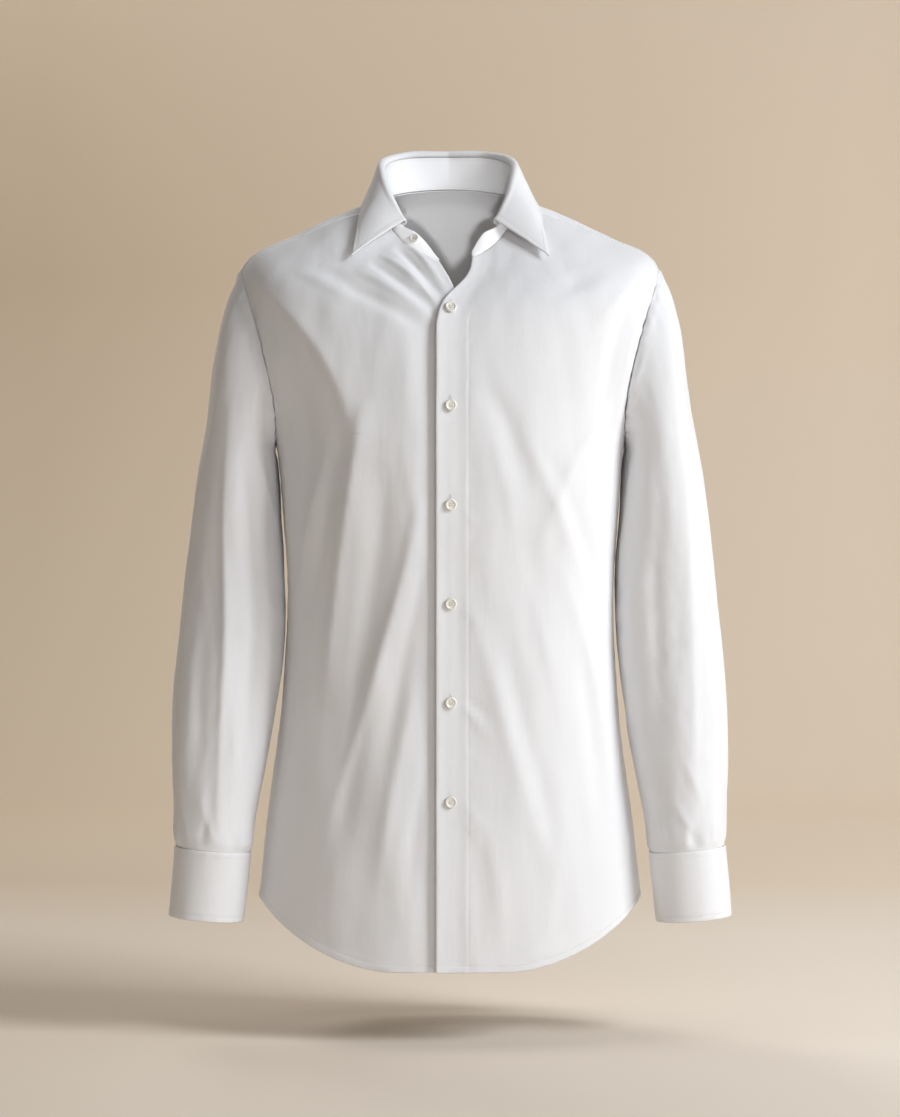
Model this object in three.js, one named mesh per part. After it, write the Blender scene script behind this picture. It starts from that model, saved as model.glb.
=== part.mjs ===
// A long-sleeved dress shirt, buttoned but for its collar, filled out with no wearer.
// Millimetres. +Z is up, the front faces -Y, +X is the wearer's left.
// The origin is in the neck, level with the shoulder seams, where a wearer's neck carries the shirt.
//
// The body is one surface, body(phi, v). phi runs round it in degrees: 0 is the centre front, 90 the
// wearer's left side, 180 the centre back and -90 the right side. v runs up through the rings of
// BODY_RINGS: 0 is the hem, 5 the underarm, 7 the shoulder point and 10 the neck seam. Every panel is
// a patch of that surface with a wall behind it, so panels meet edge to edge at their seams.

import * as THREE from 'three';

// ---------------------------------------------------------------- driving sizes

const SEAM_GAP = 0.3;
const CLOTH_WALL = 1.6;
const COLLAR_WALL = 2.4;
const CUFF_WALL = 2.2;
const PLACKET_WALL = 1.3;

// A seam edge stops short of its seam by this share of SEAM_GAP, and the head of a sleeve by more.
const SEAM_PULL = 0.8;
const SLEEVE_HEAD_PULL = 1.5;

const BUTTON = { diameter: 11.5, thickness: 2.8, rim: 1.3, dish: 0.8, sides: 14, lift: 0.6 };
// Shares of a button's radius and thickness, from the middle of its underside to its rim.
const BUTTON_UNDERSIDE = [
  { out: 0, up: 0 }, { out: 0.72, up: 0 }, { out: 1, up: 0.45 }, { out: 0.97, up: 0.85 },
];
const FRONT_BUTTONS = { count: 6, topZ: -111, pitch: 95.4, x: 0.5 };
const COLLAR_BUTTON = { phi: -32, upStand: 0.58, scale: 0.8 };
const CUFF_BUTTON = { beyondTurn: 0.02, row: 1, scale: 0.9 };

// Rings of the body, hem to neck. halfWidth is half the width from the front; each ring's side,
// centre front and centre back have their own depth y and height z. square is the exponent of its
// outline (2 is an ellipse) and fall bends its height between the side and the centres.
const BODY_RINGS = [
  { at: 'hem', halfWidth: 190.5, ySide: 4, zSide: -691,
    yFront: -118, zFront: -752, yBack: 120, zBack: -770, square: 2.3, fall: 2.0 },
  { at: 'hip', halfWidth: 182, ySide: 2, zSide: -612,
    yFront: -115, zFront: -612, yBack: 114, zBack: -612, square: 2.3, fall: 2.0 },
  { at: 'low waist', halfWidth: 168, ySide: -1, zSide: -508,
    yFront: -111, zFront: -508, yBack: 102, zBack: -508, square: 2.3, fall: 2.0 },
  { at: 'waist', halfWidth: 162, ySide: -4, zSide: -388,
    yFront: -112, zFront: -388, yBack: 93, zBack: -388, square: 2.3, fall: 2.0 },
  { at: 'ribs', halfWidth: 167, ySide: -3, zSide: -312,
    yFront: -119, zFront: -312, yBack: 102, zBack: -312, square: 2.35, fall: 2.0 },
  { at: 'underarm', halfWidth: 172.5, ySide: 2, zSide: -236,
    yFront: -121, zFront: -232, yBack: 113, zBack: -232, square: 2.4, fall: 2.0 },
  { at: 'chest', halfWidth: 203, ySide: 6, zSide: -145,
    yFront: -114, zFront: -156, yBack: 118, zBack: -145, square: 2.4, fall: 2.0 },
  { at: 'shoulder point', halfWidth: 211, ySide: 8, zSide: -60,
    yFront: -103, zFront: -118, yBack: 110, zBack: -86, square: 2.4, fall: 1.9 },
  { at: 'mid shoulder', halfWidth: 152, ySide: 5, zSide: -29.5,
    yFront: -91, zFront: -97, yBack: 98, zBack: -31, square: 2.35, fall: 1.8 },
  { at: 'collar edge', halfWidth: 104, ySide: 4, zSide: -6,
    yFront: -78, zFront: -81, yBack: 83, zBack: 5, square: 2.2, fall: 1.6 },
  { at: 'neck seam', halfWidth: 68, ySide: 4, zSide: 6,
    yFront: -66, zFront: -63, yBack: 66, zBack: 23, square: 2.1, fall: 1.25 },
];
const UNDERARM = 5;
const NECK = 10;

// The hem is level at the centres and rises to the side seams between these shares of the quarter turn.
const HEM_RISE = { from: 0.18, over: 0.72 };

// Seams, as places on the body surface.
const SIDE_SEAM_PHI = 86;
const SHOULDER_SEAM_NECK_PHI = 76;
const BACK_CORNER_NECK_PHI = 104;
const BACK_YOKE_CENTRE_V = 7;

// The armhole is an oval on the body surface, t in degrees round it: -90 under the arm, 0 in front,
// 90 on the shoulder point and 180 behind.
const ARMHOLE = { midV: 6, halfV: 1, frontSpan: 27, backSpan: 32, shoulderPhi: 90 };
const FRONT_YOKE_T = 66;
const BACK_YOKE_T = 142;

// Where each front's free edge runs: x by ring number. The left front laps over the right.
const LEFT_EDGE = [
  { v: 0, x: -13.5 }, { v: 6.6, x: -13.5 }, { v: 7, x: -12 }, { v: 7.5, x: -8 }, { v: 8, x: -1.5 },
  { v: 8.5, x: 7 }, { v: 9, x: 15 }, { v: 9.5, x: 20 }, { v: 10, x: 21.5 },
];
const RIGHT_EDGE = [
  { v: 0, x: 15 }, { v: 7, x: 15 }, { v: 7.5, x: 12.5 }, { v: 8, x: 8 }, { v: 8.5, x: 3.5 },
  { v: 9, x: 0 }, { v: 9.5, x: -5 }, { v: 10, x: -11 },
];
// The lapping edge stands proud and the front below it dips, so that their walls stay clear.
const LAP = {
  proud: 1.3, proudStart: -15, proudWidth: 45, dip: 2.1, dipStart: -42, dipEnd: -16, endV: 9.7, fadeV: 1.0,
};

// The largest folds of the body: a ridge (or, with a negative height, a trough) from one point to
// another, x and z on the front, or on the back where back is true. They fade out toward the side
// seams, where the cosine of the turn falls below FOLD_FADE.
const FOLD_FADE = 0.35;
const BODY_FOLDS = [
  { x1: -150, z1: -95, x2: -92, z2: -235, width: 17, height: 5 },
  { x1: -172, z1: -150, x2: -120, z2: -250, width: 13, height: -4 },
  { x1: -92, z1: -235, x2: -100, z2: -420, width: 16, height: 4 },
  { x1: -125, z1: -255, x2: -135, z2: -380, width: 14, height: -3.5 },
  { x1: -75, z1: -260, x2: -60, z2: -440, width: 15, height: -3 },
  { x1: -150, z1: -395, x2: -115, z2: -560, width: 16, height: 4 },
  { x1: -100, z1: -440, x2: -75, z2: -640, width: 18, height: -3 },
  { x1: -45, z1: -330, x2: -50, z2: -660, width: 17, height: 3 },
  { x1: 160, z1: -130, x2: 115, z2: -215, width: 14, height: -4 },
  { x1: 145, z1: -95, x2: 95, z2: -190, width: 16, height: 3 },
  { x1: 75, z1: -260, x2: 95, z2: -430, width: 16, height: 3.5 },
  { x1: 110, z1: -300, x2: 140, z2: -430, width: 15, height: -3 },
  { x1: 45, z1: -420, x2: 85, z2: -640, width: 18, height: -3 },
  { x1: 120, z1: -440, x2: 135, z2: -640, width: 18, height: 3 },
  { x1: -120, z1: -150, x2: -70, z2: -330, width: 18, height: 4, back: true },
  { x1: 125, z1: -150, x2: 80, z2: -340, width: 18, height: 4, back: true },
  { x1: -60, z1: -300, x2: -85, z2: -600, width: 19, height: -4, back: true },
  { x1: 10, z1: -240, x2: 0, z2: -620, width: 20, height: 4, back: true },
  { x1: 75, z1: -330, x2: 95, z2: -640, width: 19, height: -4, back: true },
  { x1: -145, z1: -380, x2: -125, z2: -600, width: 16, height: 3, back: true },
  { x1: 145, z1: -370, x2: 130, z2: -560, width: 16, height: 3, back: true },
];

// Rings of a sleeve, from just below the armhole to the cuff seam. inner and outer are x on the
// wearer's left; tilt in degrees lifts the outer side.
const SLEEVE_RINGS = [
  { z: -243, inner: 169.2, outer: 247.5, y: 4, depth: 138, tilt: 24 },
  { z: -300, inner: 168.5, outer: 254.5, y: 0, depth: 131, tilt: 9 },
  { z: -352, inner: 165, outer: 260.5, y: -4, depth: 119, tilt: 4 },
  { z: -395, inner: 163.9, outer: 264.6, y: -9, depth: 110, tilt: 3 },
  { z: -440, inner: 166.2, outer: 269.4, y: -14, depth: 103, tilt: 3 },
  { z: -495, inner: 173.2, outer: 273.6, y: -21, depth: 97, tilt: 4 },
  { z: -550, inner: 182.5, outer: 275, y: -27, depth: 91, tilt: 5 },
  { z: -607, inner: 193, outer: 272.6, y: -32, depth: 83, tilt: 5 },
  { z: -639, inner: 197, outer: 271, y: -35, depth: 77, tilt: 5 },
];
const SLEEVE_SQUARE = 2.1;
// How the sleeve leaves the armhole: sideways, more in front and behind than above and below,
// forward or back, and down.
const SLEEVE_START = { sideways: 0.5, fuller: 0.55, forward: 0.45, down: 0.9 };

// The largest folds of a sleeve, along it: t places it round the sleeve, rows give its two ends.
const SLEEVE_FOLDS = {
  left: [
    { t: 10, from: 0.2, to: 6.5, spread: 20, height: 3.5 },
    { t: -28, from: 0.6, to: 5.5, spread: 16, height: -3.5 },
    { t: 60, from: 1, to: 7.4, spread: 18, height: -2.5 },
    { t: 150, from: 0.5, to: 6, spread: 22, height: 4 },
    { t: 205, from: 0.8, to: 6.6, spread: 18, height: -3.5 },
  ],
  right: [
    { t: 32, from: -0.3, to: 6.6, spread: 17, height: 4 },
    { t: 0, from: -0.2, to: 4.5, spread: 15, height: -4 },
    { t: -32, from: 0.2, to: 5.2, spread: 16, height: 3 },
    { t: 145, from: 0.6, to: 6.2, spread: 20, height: -3.5 },
    { t: 190, from: 0.4, to: 6.4, spread: 20, height: 4 },
  ],
};

const CUFF_RINGS = [
  { z: -639.6, inner: 196, outer: 272.4, y: -35, depth: 78, tilt: 5 },
  { z: -675, inner: 199.7, outer: 275.4, y: -36.5, depth: 75, tilt: 5 },
  { z: -708, inner: 203.5, outer: 278, y: -38, depth: 74, tilt: 5 },
];
// The cuff closes behind, on its outer side, where one end laps over the other.
const CUFF_LAP = { t: 150, half: 20, ramp: 26, clearance: 0.6 };
const CUFF_ROWS = [0, 0.15, 1, 1.9, 2];
const CUFF_STEPS = 30;
const SLEEVE_PLACKET = { halfSpan: 15, topRow: 5.6, bottomRow: 7.96, rows: 7, columns: 4, clearance: 0.65 };

// Upper edge of the collar stand, on its inner side, by the angle phi of the neck seam below it.
const STAND_TOP = [
  { phi: 0, x: 0, y: -56, z: -68 },
  { phi: 10, x: 10.5, y: -54, z: -59 },
  { phi: 18, x: 19.5, y: -51, z: -48.5 },
  { phi: 30, x: 33, y: -46, z: -34 },
  { phi: 44, x: 46.5, y: -38, z: -26 },
  { phi: 54, x: 54, y: -29, z: -9 },
  { phi: 65, x: 60, y: -17, z: 10 },
  { phi: 90, x: 63.5, y: 7, z: 34.5 },
  { phi: 120, x: 56, y: 37, z: 47.5 },
  { phi: 150, x: 32, y: 55, z: 54.5 },
  { phi: 180, x: 0, y: 60, z: 55.5 },
];
const STAND_LEAN = { x: -1.8, fromZ: -20, toZ: 35 };
// The two ends of the stand are rounded off: the share of its height at their last stations.
const STAND_END_HEIGHTS = [0.45, 0.75, 0.93];
// Lower edge of the collar leaf, and how far it swells from a straight fall on the way there.
const LEAF_EDGE = [
  { phi: 44, x: 96.5, y: -71, z: -57, swell: 1 },
  { phi: 66, x: 92, y: -38, z: -23, swell: 1 },
  { phi: 90, x: 87.5, y: 6, z: 2.8, swell: 0 },
  { phi: 120, x: 76.2, y: 50.2, z: 8.2, swell: 1.5 },
  { phi: 150, x: 45, y: 80.3, z: 12.6, swell: 2.5 },
  { phi: 180, x: 0, y: 89.3, z: 14.6, swell: 2.5 },
];
const LEAF_FRONT_PHI = 44;
const LEAF_STATIONS = 14;
// The leaf starts above the stand, turns over a roll through these angles and falls to its edge.
const LEAF_ROLL = { gap: 0.9, radius: 4.2, rise: 2.2, angles: [180, 128, 84, 46, 12] };
const LEAF_FALL_SHARES = [0.2, 0.45, 0.72, 1];

// ---------------------------------------------------------------- small helpers

const DEGREE = Math.PI / 180;

const clamp01 = (value) => Math.min(1, Math.max(0, value));
const smooth = (value) => {
  const s = clamp01(value);
  return s * s * (3 - 2 * s);
};
const mix = (a, b, share) => a + (b - a) * share;

// A smooth column through evenly numbered rows, with no overshoot between them.
function column(rows, key, place) {
  const last = rows.length - 1;
  const k = Math.min(last - 1, Math.max(0, Math.floor(place)));
  const s = place - k;
  const step = (i) => rows[i + 1][key] - rows[i][key];
  const slope = (i) => {
    if (i <= 0) return step(0);
    if (i >= last) return step(last - 1);
    const before = step(i - 1);
    const after = step(i);
    return before * after <= 0 ? 0 : (2 * before * after) / (before + after);
  };
  const square = s * s;
  const cube = square * s;
  return rows[k][key] * (2 * cube - 3 * square + 1) + slope(k) * (cube - 2 * square + s)
    + rows[k + 1][key] * (3 * square - 2 * cube) + slope(k + 1) * (cube - square);
}

// The row number at which the rising column `key` takes a value.
function rowAt(rows, key, value) {
  const found = rows.findIndex((row) => row[key] >= value);
  const k = found < 0 ? rows.length - 2 : Math.max(0, found - 1);
  return k + (value - rows[k][key]) / (rows[k + 1][key] - rows[k][key]);
}

// Unit outline of a superellipse: its sideways and forward shares at an angle in degrees.
function outline(angle, square) {
  const side = Math.sin(angle * DEGREE);
  const front = Math.cos(angle * DEGREE);
  const reach = (Math.abs(side) ** square + Math.abs(front) ** square) ** (-1 / square);
  return { side: side * reach, front: front * reach };
}

// Half the steps that a surface's directions are taken over: degrees round it, rings along it, and
// the share of a cuff's length.
const STEP = { phi: 0.2, v: 0.02, t: 0.5, row: 0.02, share: 0.004 };

// Outward unit normal of a body surface point(phi, v).
function surfaceNormal(point, phi, v) {
  const round = point(phi + STEP.phi, v).sub(point(phi - STEP.phi, v));
  const up = point(phi, v + STEP.v).sub(point(phi, v - STEP.v));
  return round.cross(up).normalize();
}

// Direction shared by two walls that meet at a seam, so that both end on one mitre plane.
function mitre(one, other) {
  const share = Math.max(0.4, 1 + one.dot(other));
  return one.clone().add(other).divideScalar(share);
}

const spread = (from, to, steps) => Array.from({ length: steps + 1 }, (_, i) => mix(from, to, i / steps));

// ---------------------------------------------------------------- solids from grids

// The outer and inner points of a grid whose cells are { p, n }, n the way out of the wall.
function wallPoints(grid, wall) {
  const outer = grid.flat().map((cell) => cell.p.toArray());
  const inner = grid.flat().map((cell) => cell.p.clone().addScaledVector(cell.n, -wall).toArray());
  return [...outer, ...inner].flat();
}

// The two faces of one cell of the wall, each split along the cell's shorter diagonal.
function wallCell(index, cells, [a, b, c, d]) {
  const inner = cells.length;
  const across = cells[a].p.distanceTo(cells[c].p) < cells[b].p.distanceTo(cells[d].p);
  const halves = across ? [[a, b, c], [a, c, d]] : [[a, b, d], [b, c, d]];
  for (const [p, q, r] of halves) index.push(p, q, r, inner + p, inner + r, inner + q);
}

// A wall behind a grid of outer points.
function wallSolid(grid, wall) {
  const rows = grid.length;
  const columns = grid[0].length;
  const cells = grid.flat();
  const inner = cells.length;
  const index = [];
  const quad = (a, b, c, d) => index.push(a, b, c, a, c, d);
  for (let i = 0; i < rows - 1; i += 1) {
    for (let j = 0; j < columns - 1; j += 1) {
      const a = i * columns + j;
      wallCell(index, cells, [a, a + 1, a + 1 + columns, a + columns]);
    }
  }
  const rim = [];
  for (let j = 0; j < columns - 1; j += 1) rim.push(j);
  for (let i = 0; i < rows - 1; i += 1) rim.push(i * columns + columns - 1);
  for (let j = columns - 1; j > 0; j -= 1) rim.push((rows - 1) * columns + j);
  for (let i = rows - 1; i > 0; i -= 1) rim.push(i * columns);
  rim.forEach((a, k) => {
    const b = rim[(k + 1) % rim.length];
    quad(b, a, inner + a, inner + b);
  });
  return closedGeometry(wallPoints(grid, wall), index);
}

// The same for a tube, whose last column joins its first.
function tubeSolid(grid, wall) {
  const rows = grid.length;
  const columns = grid[0].length;
  const cells = grid.flat();
  const inner = cells.length;
  const index = [];
  for (let j = 0; j < columns; j += 1) {
    const next = (j + 1) % columns;
    for (let i = 0; i < rows - 1; i += 1) {
      const a = i * columns + j;
      const b = i * columns + next;
      wallCell(index, cells, [a, b, b + columns, a + columns]);
    }
    const top = (rows - 1) * columns;
    index.push(next, j, inner + j, next, inner + j, inner + next);
    index.push(top + j, top + next, inner + top + next, top + j, inner + top + next, inner + top + j);
  }
  return closedGeometry(wallPoints(grid, wall), index);
}

function closedGeometry(positions, index) {
  const at = (i) => new THREE.Vector3().fromArray(positions, 3 * i);
  let volume = 0;
  for (let i = 0; i < index.length; i += 3) {
    volume += at(index[i]).dot(at(index[i + 1]).cross(at(index[i + 2])));
  }
  if (volume < 0) index.reverse();
  const geometry = new THREE.BufferGeometry();
  geometry.setAttribute('position', new THREE.Float32BufferAttribute(positions, 3));
  geometry.setIndex(index);
  geometry.computeVertexNormals();
  return geometry;
}

// Draws one edge of a grid back from its seam.
function drawBack(grid, edge, share = SEAM_PULL) {
  const last = grid.length - 1;
  const end = grid[0].length - 1;
  const pairs = {
    bottom: grid[0].map((cell, j) => [cell, grid[1][j]]),
    top: grid[last].map((cell, j) => [cell, grid[last - 1][j]]),
    start: grid.map((row) => [row[0], row[1]]),
    end: grid.map((row) => [row[end], row[end - 1]]),
  }[edge];
  for (const [cell, neighbour] of pairs) {
    const way = neighbour.p.clone().sub(cell.p).normalize();
    cell.p = cell.p.clone().addScaledVector(way, SEAM_GAP * share);
  }
}

// ---------------------------------------------------------------- the body surface

// Height of the body folds at a point, tapering to nothing at both ends of each fold.
function foldHeight(x, z, back) {
  let height = 0;
  for (const fold of BODY_FOLDS) {
    if (Boolean(fold.back) !== back) continue;
    const dx = fold.x2 - fold.x1;
    const dz = fold.z2 - fold.z1;
    const share = ((x - fold.x1) * dx + (z - fold.z1) * dz) / (dx * dx + dz * dz);
    if (share <= 0 || share >= 1) continue;
    const off = Math.hypot(x - fold.x1 - share * dx, z - fold.z1 - share * dz) / fold.width;
    height += fold.height * Math.sin(Math.PI * share) * Math.exp(-off * off);
  }
  return height;
}

function body(phi, v) {
  const ring = (key) => column(BODY_RINGS, key, v);
  const { side, front } = outline(phi, ring('square'));
  const back = front < 0;
  const turn = Math.abs(Math.cos(phi * DEGREE));
  const quarter = Math.min(Math.abs(phi), Math.abs(180 - Math.abs(phi))) / 90;
  const towardCentre = v < 1 ? 1 - smooth((quarter - HEM_RISE.from) / HEM_RISE.over) : turn ** ring('fall');
  const ySide = ring('ySide');
  const zSide = ring('zSide');
  const y = ySide + (ring(back ? 'yBack' : 'yFront') - ySide) * Math.abs(front);
  const z = zSide + (ring(back ? 'zBack' : 'zFront') - zSide) * towardCentre;
  const x = ring('halfWidth') * side;
  const centred = smooth(turn / FOLD_FADE);
  return new THREE.Vector3(x, y + (back ? 1 : -1) * centred * foldHeight(x, z, back), z);
}

const bodyNormal = (phi, v) => surfaceNormal(body, phi, v);

// The place on the front of the body that lies behind x and z, by Newton's method.
function frontPlace(x, z) {
  const rounds = 12;
  let phi = 0;
  let v = rowAt(BODY_RINGS, 'zFront', z);
  for (let round = 0; round < rounds; round += 1) {
    const here = body(phi, v);
    const byPhi = body(phi + STEP.phi, v).sub(here).divideScalar(STEP.phi);
    const byV = body(phi, v + STEP.v).sub(here).divideScalar(STEP.v);
    const missX = x - here.x;
    const missZ = z - here.z;
    const scale = byPhi.x * byV.z - byPhi.z * byV.x;
    phi += (missX * byV.z - missZ * byV.x) / scale;
    v += (missZ * byPhi.x - missX * byPhi.z) / scale;
  }
  return { phi, v };
}

// The left front stands proud at its lapping edge; the right front dips below it.
function lapLift(x, v, left) {
  const fade = 1 - smooth((v - (LAP.endV - LAP.fadeV)) / LAP.fadeV);
  if (left) return fade * LAP.proud * (1 - smooth((x - LAP.proudStart) / LAP.proudWidth));
  return -fade * LAP.dip * smooth((x - LAP.dipStart) / (LAP.dipEnd - LAP.dipStart));
}

function front(phi, v, left) {
  const p = body(phi, v);
  p.y -= lapLift(p.x, v, left);
  return p;
}

const frontNormal = (phi, v, left) => surfaceNormal((a, b) => front(a, b, left), phi, v);

// ---------------------------------------------------------------- seams on the body

function armholeMidPhi(v) {
  const climbed = clamp01((v - UNDERARM) / (2 * ARMHOLE.halfV));
  return mix(SIDE_SEAM_PHI, ARMHOLE.shoulderPhi, climbed);
}

function armholePlace(t) {
  const v = ARMHOLE.midV + ARMHOLE.halfV * Math.sin(t * DEGREE);
  const forward = Math.cos(t * DEGREE);
  const span = forward > 0 ? ARMHOLE.frontSpan : ARMHOLE.backSpan;
  return { phi: armholeMidPhi(v) - span * forward, v };
}

const FRONT_CORNER = armholePlace(FRONT_YOKE_T);
const BACK_CORNER = armholePlace(BACK_YOKE_T);

function shoulderSeamPhi(v) {
  const climbed = (v - FRONT_CORNER.v) / (NECK - FRONT_CORNER.v);
  return mix(FRONT_CORNER.phi, SHOULDER_SEAM_NECK_PHI, climbed);
}

function edgePhi(table, v) {
  const k = Math.min(table.length - 2, Math.max(0, table.findIndex((row) => row.v >= v) - 1));
  const x = column(table, 'x', k + (v - table[k].v) / (table[k + 1].v - table[k].v));
  return Math.asin(x / column(BODY_RINGS, 'halfWidth', v)) / DEGREE;
}

// Rows that neighbouring pieces share along their seams.
const SIDE_ROWS = [0, 0.3, 0.7, 1.2, 1.8, 2.4, 3, 3.5, 4, 4.5, 5];
const FRONT_ARM_T = [-66, -45, -24, -4, 16, 36, FRONT_YOKE_T];
const YOKE_ARM_T = [FRONT_YOKE_T, 84, 100, 120, BACK_YOKE_T];
const BACK_ARM_T = [246, 225, 204, 184, 164, BACK_YOKE_T];
const SHOULDER_SHARES = [0, 0.2, 0.42, 0.64, 0.84, 1];
const BACK_COLUMNS = 10;
const FRONT_COLUMNS = 11;

const sideOf = (left) => (left ? 1 : -1);

// A point of the armhole seam, with the mitre that the body and the sleeve share there.
function armholeSeam(t, left) {
  const { phi, v } = armholePlace(t);
  const side = sideOf(left);
  const p = body(side * phi, v);
  const n = mitre(bodyNormal(side * phi, v), sleeveNormal(t, -1, left));
  return { p, n };
}

// A point of the neck seam, with the mitre that the body and the collar stand share there.
function neckSeam(phi) {
  return { p: body(phi, NECK), n: mitre(bodyNormal(phi, NECK), standNormal(phi)) };
}

// ---------------------------------------------------------------- sleeves

function ringPoint(rings, t, row, left, bulge = 0) {
  const value = (key) => column(rings, key, row);
  const inner = value('inner');
  const outer = value('outer');
  const half = (outer - inner) / 2;
  const tilt = value('tilt') * DEGREE;
  const { side, front: forward } = outline(90 - t, SLEEVE_SQUARE);
  const lateral = (half + bulge) * forward;
  const ahead = (value('depth') / 2 + bulge) * side;
  const x = (inner + outer) / 2 + lateral * Math.cos(tilt);
  return new THREE.Vector3(sideOf(left) * x, value('y') - ahead, value('z') + lateral * Math.sin(tilt));
}

function sleeveFold(t, row, left) {
  let height = 0;
  for (const fold of SLEEVE_FOLDS[left ? 'left' : 'right']) {
    const share = (row - fold.from) / (fold.to - fold.from);
    if (share <= 0 || share >= 1) continue;
    const off = (((t - fold.t + 540) % 360) - 180) / fold.spread;
    height += fold.height * Math.sin(Math.PI * share) * Math.exp(-off * off);
  }
  return height;
}

// The sleeve's surface: t as on the armhole, so 90 is its outer side and 0 its front. row is -1 at
// the armhole seam and runs from 0 to 8 down SLEEVE_RINGS.
function sleeve(t, row, left) {
  if (row >= 0) return ringPoint(SLEEVE_RINGS, t, row, left, sleeveFold(t, row, left));
  const side = sideOf(left);
  const { phi, v } = armholePlace(t);
  const start = body(side * phi, v);
  const end = ringPoint(SLEEVE_RINGS, t, 0, left);
  const length = end.distanceTo(start);
  const forward = Math.cos(t * DEGREE);
  const leave = new THREE.Vector3(
    side * (SLEEVE_START.sideways + SLEEVE_START.fuller * forward * forward),
    -SLEEVE_START.forward * forward,
    -SLEEVE_START.down,
  ).normalize().multiplyScalar(length);
  const arrive = ringPoint(SLEEVE_RINGS, t, STEP.row, left).sub(end).normalize().multiplyScalar(length);
  const s = row + 1;
  const square = s * s;
  const cube = square * s;
  return start.multiplyScalar(2 * cube - 3 * square + 1)
    .addScaledVector(leave, cube - 2 * square + s)
    .addScaledVector(end, 3 * square - 2 * cube)
    .addScaledVector(arrive, cube - square);
}

function sleeveNormal(t, row, left) {
  const last = SLEEVE_RINGS.length - 1;
  const from = Math.min(row, last - STEP.row);
  const alongT = sleeve(t + STEP.t, from, left).sub(sleeve(t - STEP.t, from, left));
  const alongRow = sleeve(t, from + STEP.row, left).sub(sleeve(t, from, left));
  return alongT.cross(alongRow).normalize().multiplyScalar(-sideOf(left));
}

const ARM_T = [-90, ...FRONT_ARM_T, ...YOKE_ARM_T.slice(1), ...BACK_ARM_T.slice(0, -1).reverse()];
const SLEEVE_ROWS = [-1, -0.78, -0.5, -0.2, 0.15, 0.6, 1.2, 1.9, 2.6, 3.4, 4.2, 5, 5.8, 6.5, 7.2, 7.7, 8];

function sleeveSolid(left) {
  const grid = SLEEVE_ROWS.map((row) => ARM_T.map((t) => {
    if (row === -1) return armholeSeam(t, left);
    return { p: sleeve(t, row, left), n: sleeveNormal(t, row, left) };
  }));
  drawBack(grid, 'bottom', SLEEVE_HEAD_PULL);
  return tubeSolid(grid, CLOTH_WALL);
}

// ---------------------------------------------------------------- cuffs and sleeve plackets

// The cuff is a wrapped band that runs beyond a full turn: share 0 is its under end and 1 its upper.
const CUFF_TURN = 360 + 2 * CUFF_LAP.half;
const CUFF_FULL_TURN = 360 / CUFF_TURN;

function cuff(share, row, left) {
  const t = CUFF_LAP.t - CUFF_LAP.half + CUFF_TURN * share;
  const rampShare = CUFF_LAP.ramp / CUFF_TURN;
  const climbed = smooth((share - CUFF_FULL_TURN + rampShare) / rampShare);
  return ringPoint(CUFF_RINGS, t, row, left, (CUFF_WALL + CUFF_LAP.clearance) * climbed);
}

function cuffNormal(share, row, left) {
  const middle = Math.min(CUFF_RINGS.length - 1 - STEP.row, Math.max(STEP.row, row));
  const along = cuff(share + STEP.share, middle, left).sub(cuff(share - STEP.share, middle, left));
  const down = cuff(share, middle + STEP.row, left).sub(cuff(share, middle - STEP.row, left));
  return along.cross(down).normalize().multiplyScalar(-sideOf(left));
}

function cuffSolid(left) {
  const grid = CUFF_ROWS.map((row) => spread(0, 1, CUFF_STEPS).map((share) => (
    { p: cuff(share, row, left), n: cuffNormal(share, row, left) }
  )));
  return wallSolid(grid, CUFF_WALL);
}

function sleevePlacketSolid(left) {
  const { topRow, bottomRow, halfSpan, rows, columns, clearance } = SLEEVE_PLACKET;
  const grid = spread(topRow, bottomRow, rows).map((row) => (
    spread(CUFF_LAP.t - halfSpan, CUFF_LAP.t + halfSpan, columns).map((t) => {
      const n = sleeveNormal(t, row, left);
      return { p: sleeve(t, row, left).addScaledVector(n, PLACKET_WALL + clearance), n };
    })
  ));
  return wallSolid(grid, PLACKET_WALL);
}

// ---------------------------------------------------------------- collar

function tablePoint(table, phi) {
  const turned = ((phi + 540) % 360) - 180;
  const row = rowAt(table, 'phi', Math.abs(turned));
  return new THREE.Vector3(
    Math.sign(turned || 1) * column(table, 'x', row),
    column(table, 'y', row),
    column(table, 'z', row),
  );
}

// The raised back and sides of the stand lean a little to the wearer's right.
function standTop(phi) {
  const p = tablePoint(STAND_TOP, phi);
  p.x += STAND_LEAN.x * clamp01((p.z - STAND_LEAN.fromZ) / (STAND_LEAN.toZ - STAND_LEAN.fromZ));
  return p;
}

function standNormal(phi) {
  const along = body(phi + STEP.phi, NECK).sub(body(phi - STEP.phi, NECK));
  const up = standTop(phi).sub(body(phi, NECK));
  return along.cross(up).normalize();
}

// The stand's outer face; share 0 is the neck seam and 1 the upper edge.
function standOuter(phi, share) {
  const top = standTop(phi).addScaledVector(standNormal(phi), COLLAR_WALL);
  return body(phi, NECK).lerp(top, share);
}

const FRONT_NECK_PHI = {
  left: spread(edgePhi(LEFT_EDGE, NECK), SHOULDER_SEAM_NECK_PHI, FRONT_COLUMNS),
  right: spread(-edgePhi(RIGHT_EDGE, NECK), SHOULDER_SEAM_NECK_PHI, FRONT_COLUMNS),
};
const YOKE_NECK_PHI = [
  ...spread(SHOULDER_SEAM_NECK_PHI, BACK_CORNER_NECK_PHI, YOKE_ARM_T.length - 1),
  ...spread(BACK_CORNER_NECK_PHI, 180, BACK_COLUMNS).slice(1),
];

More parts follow.
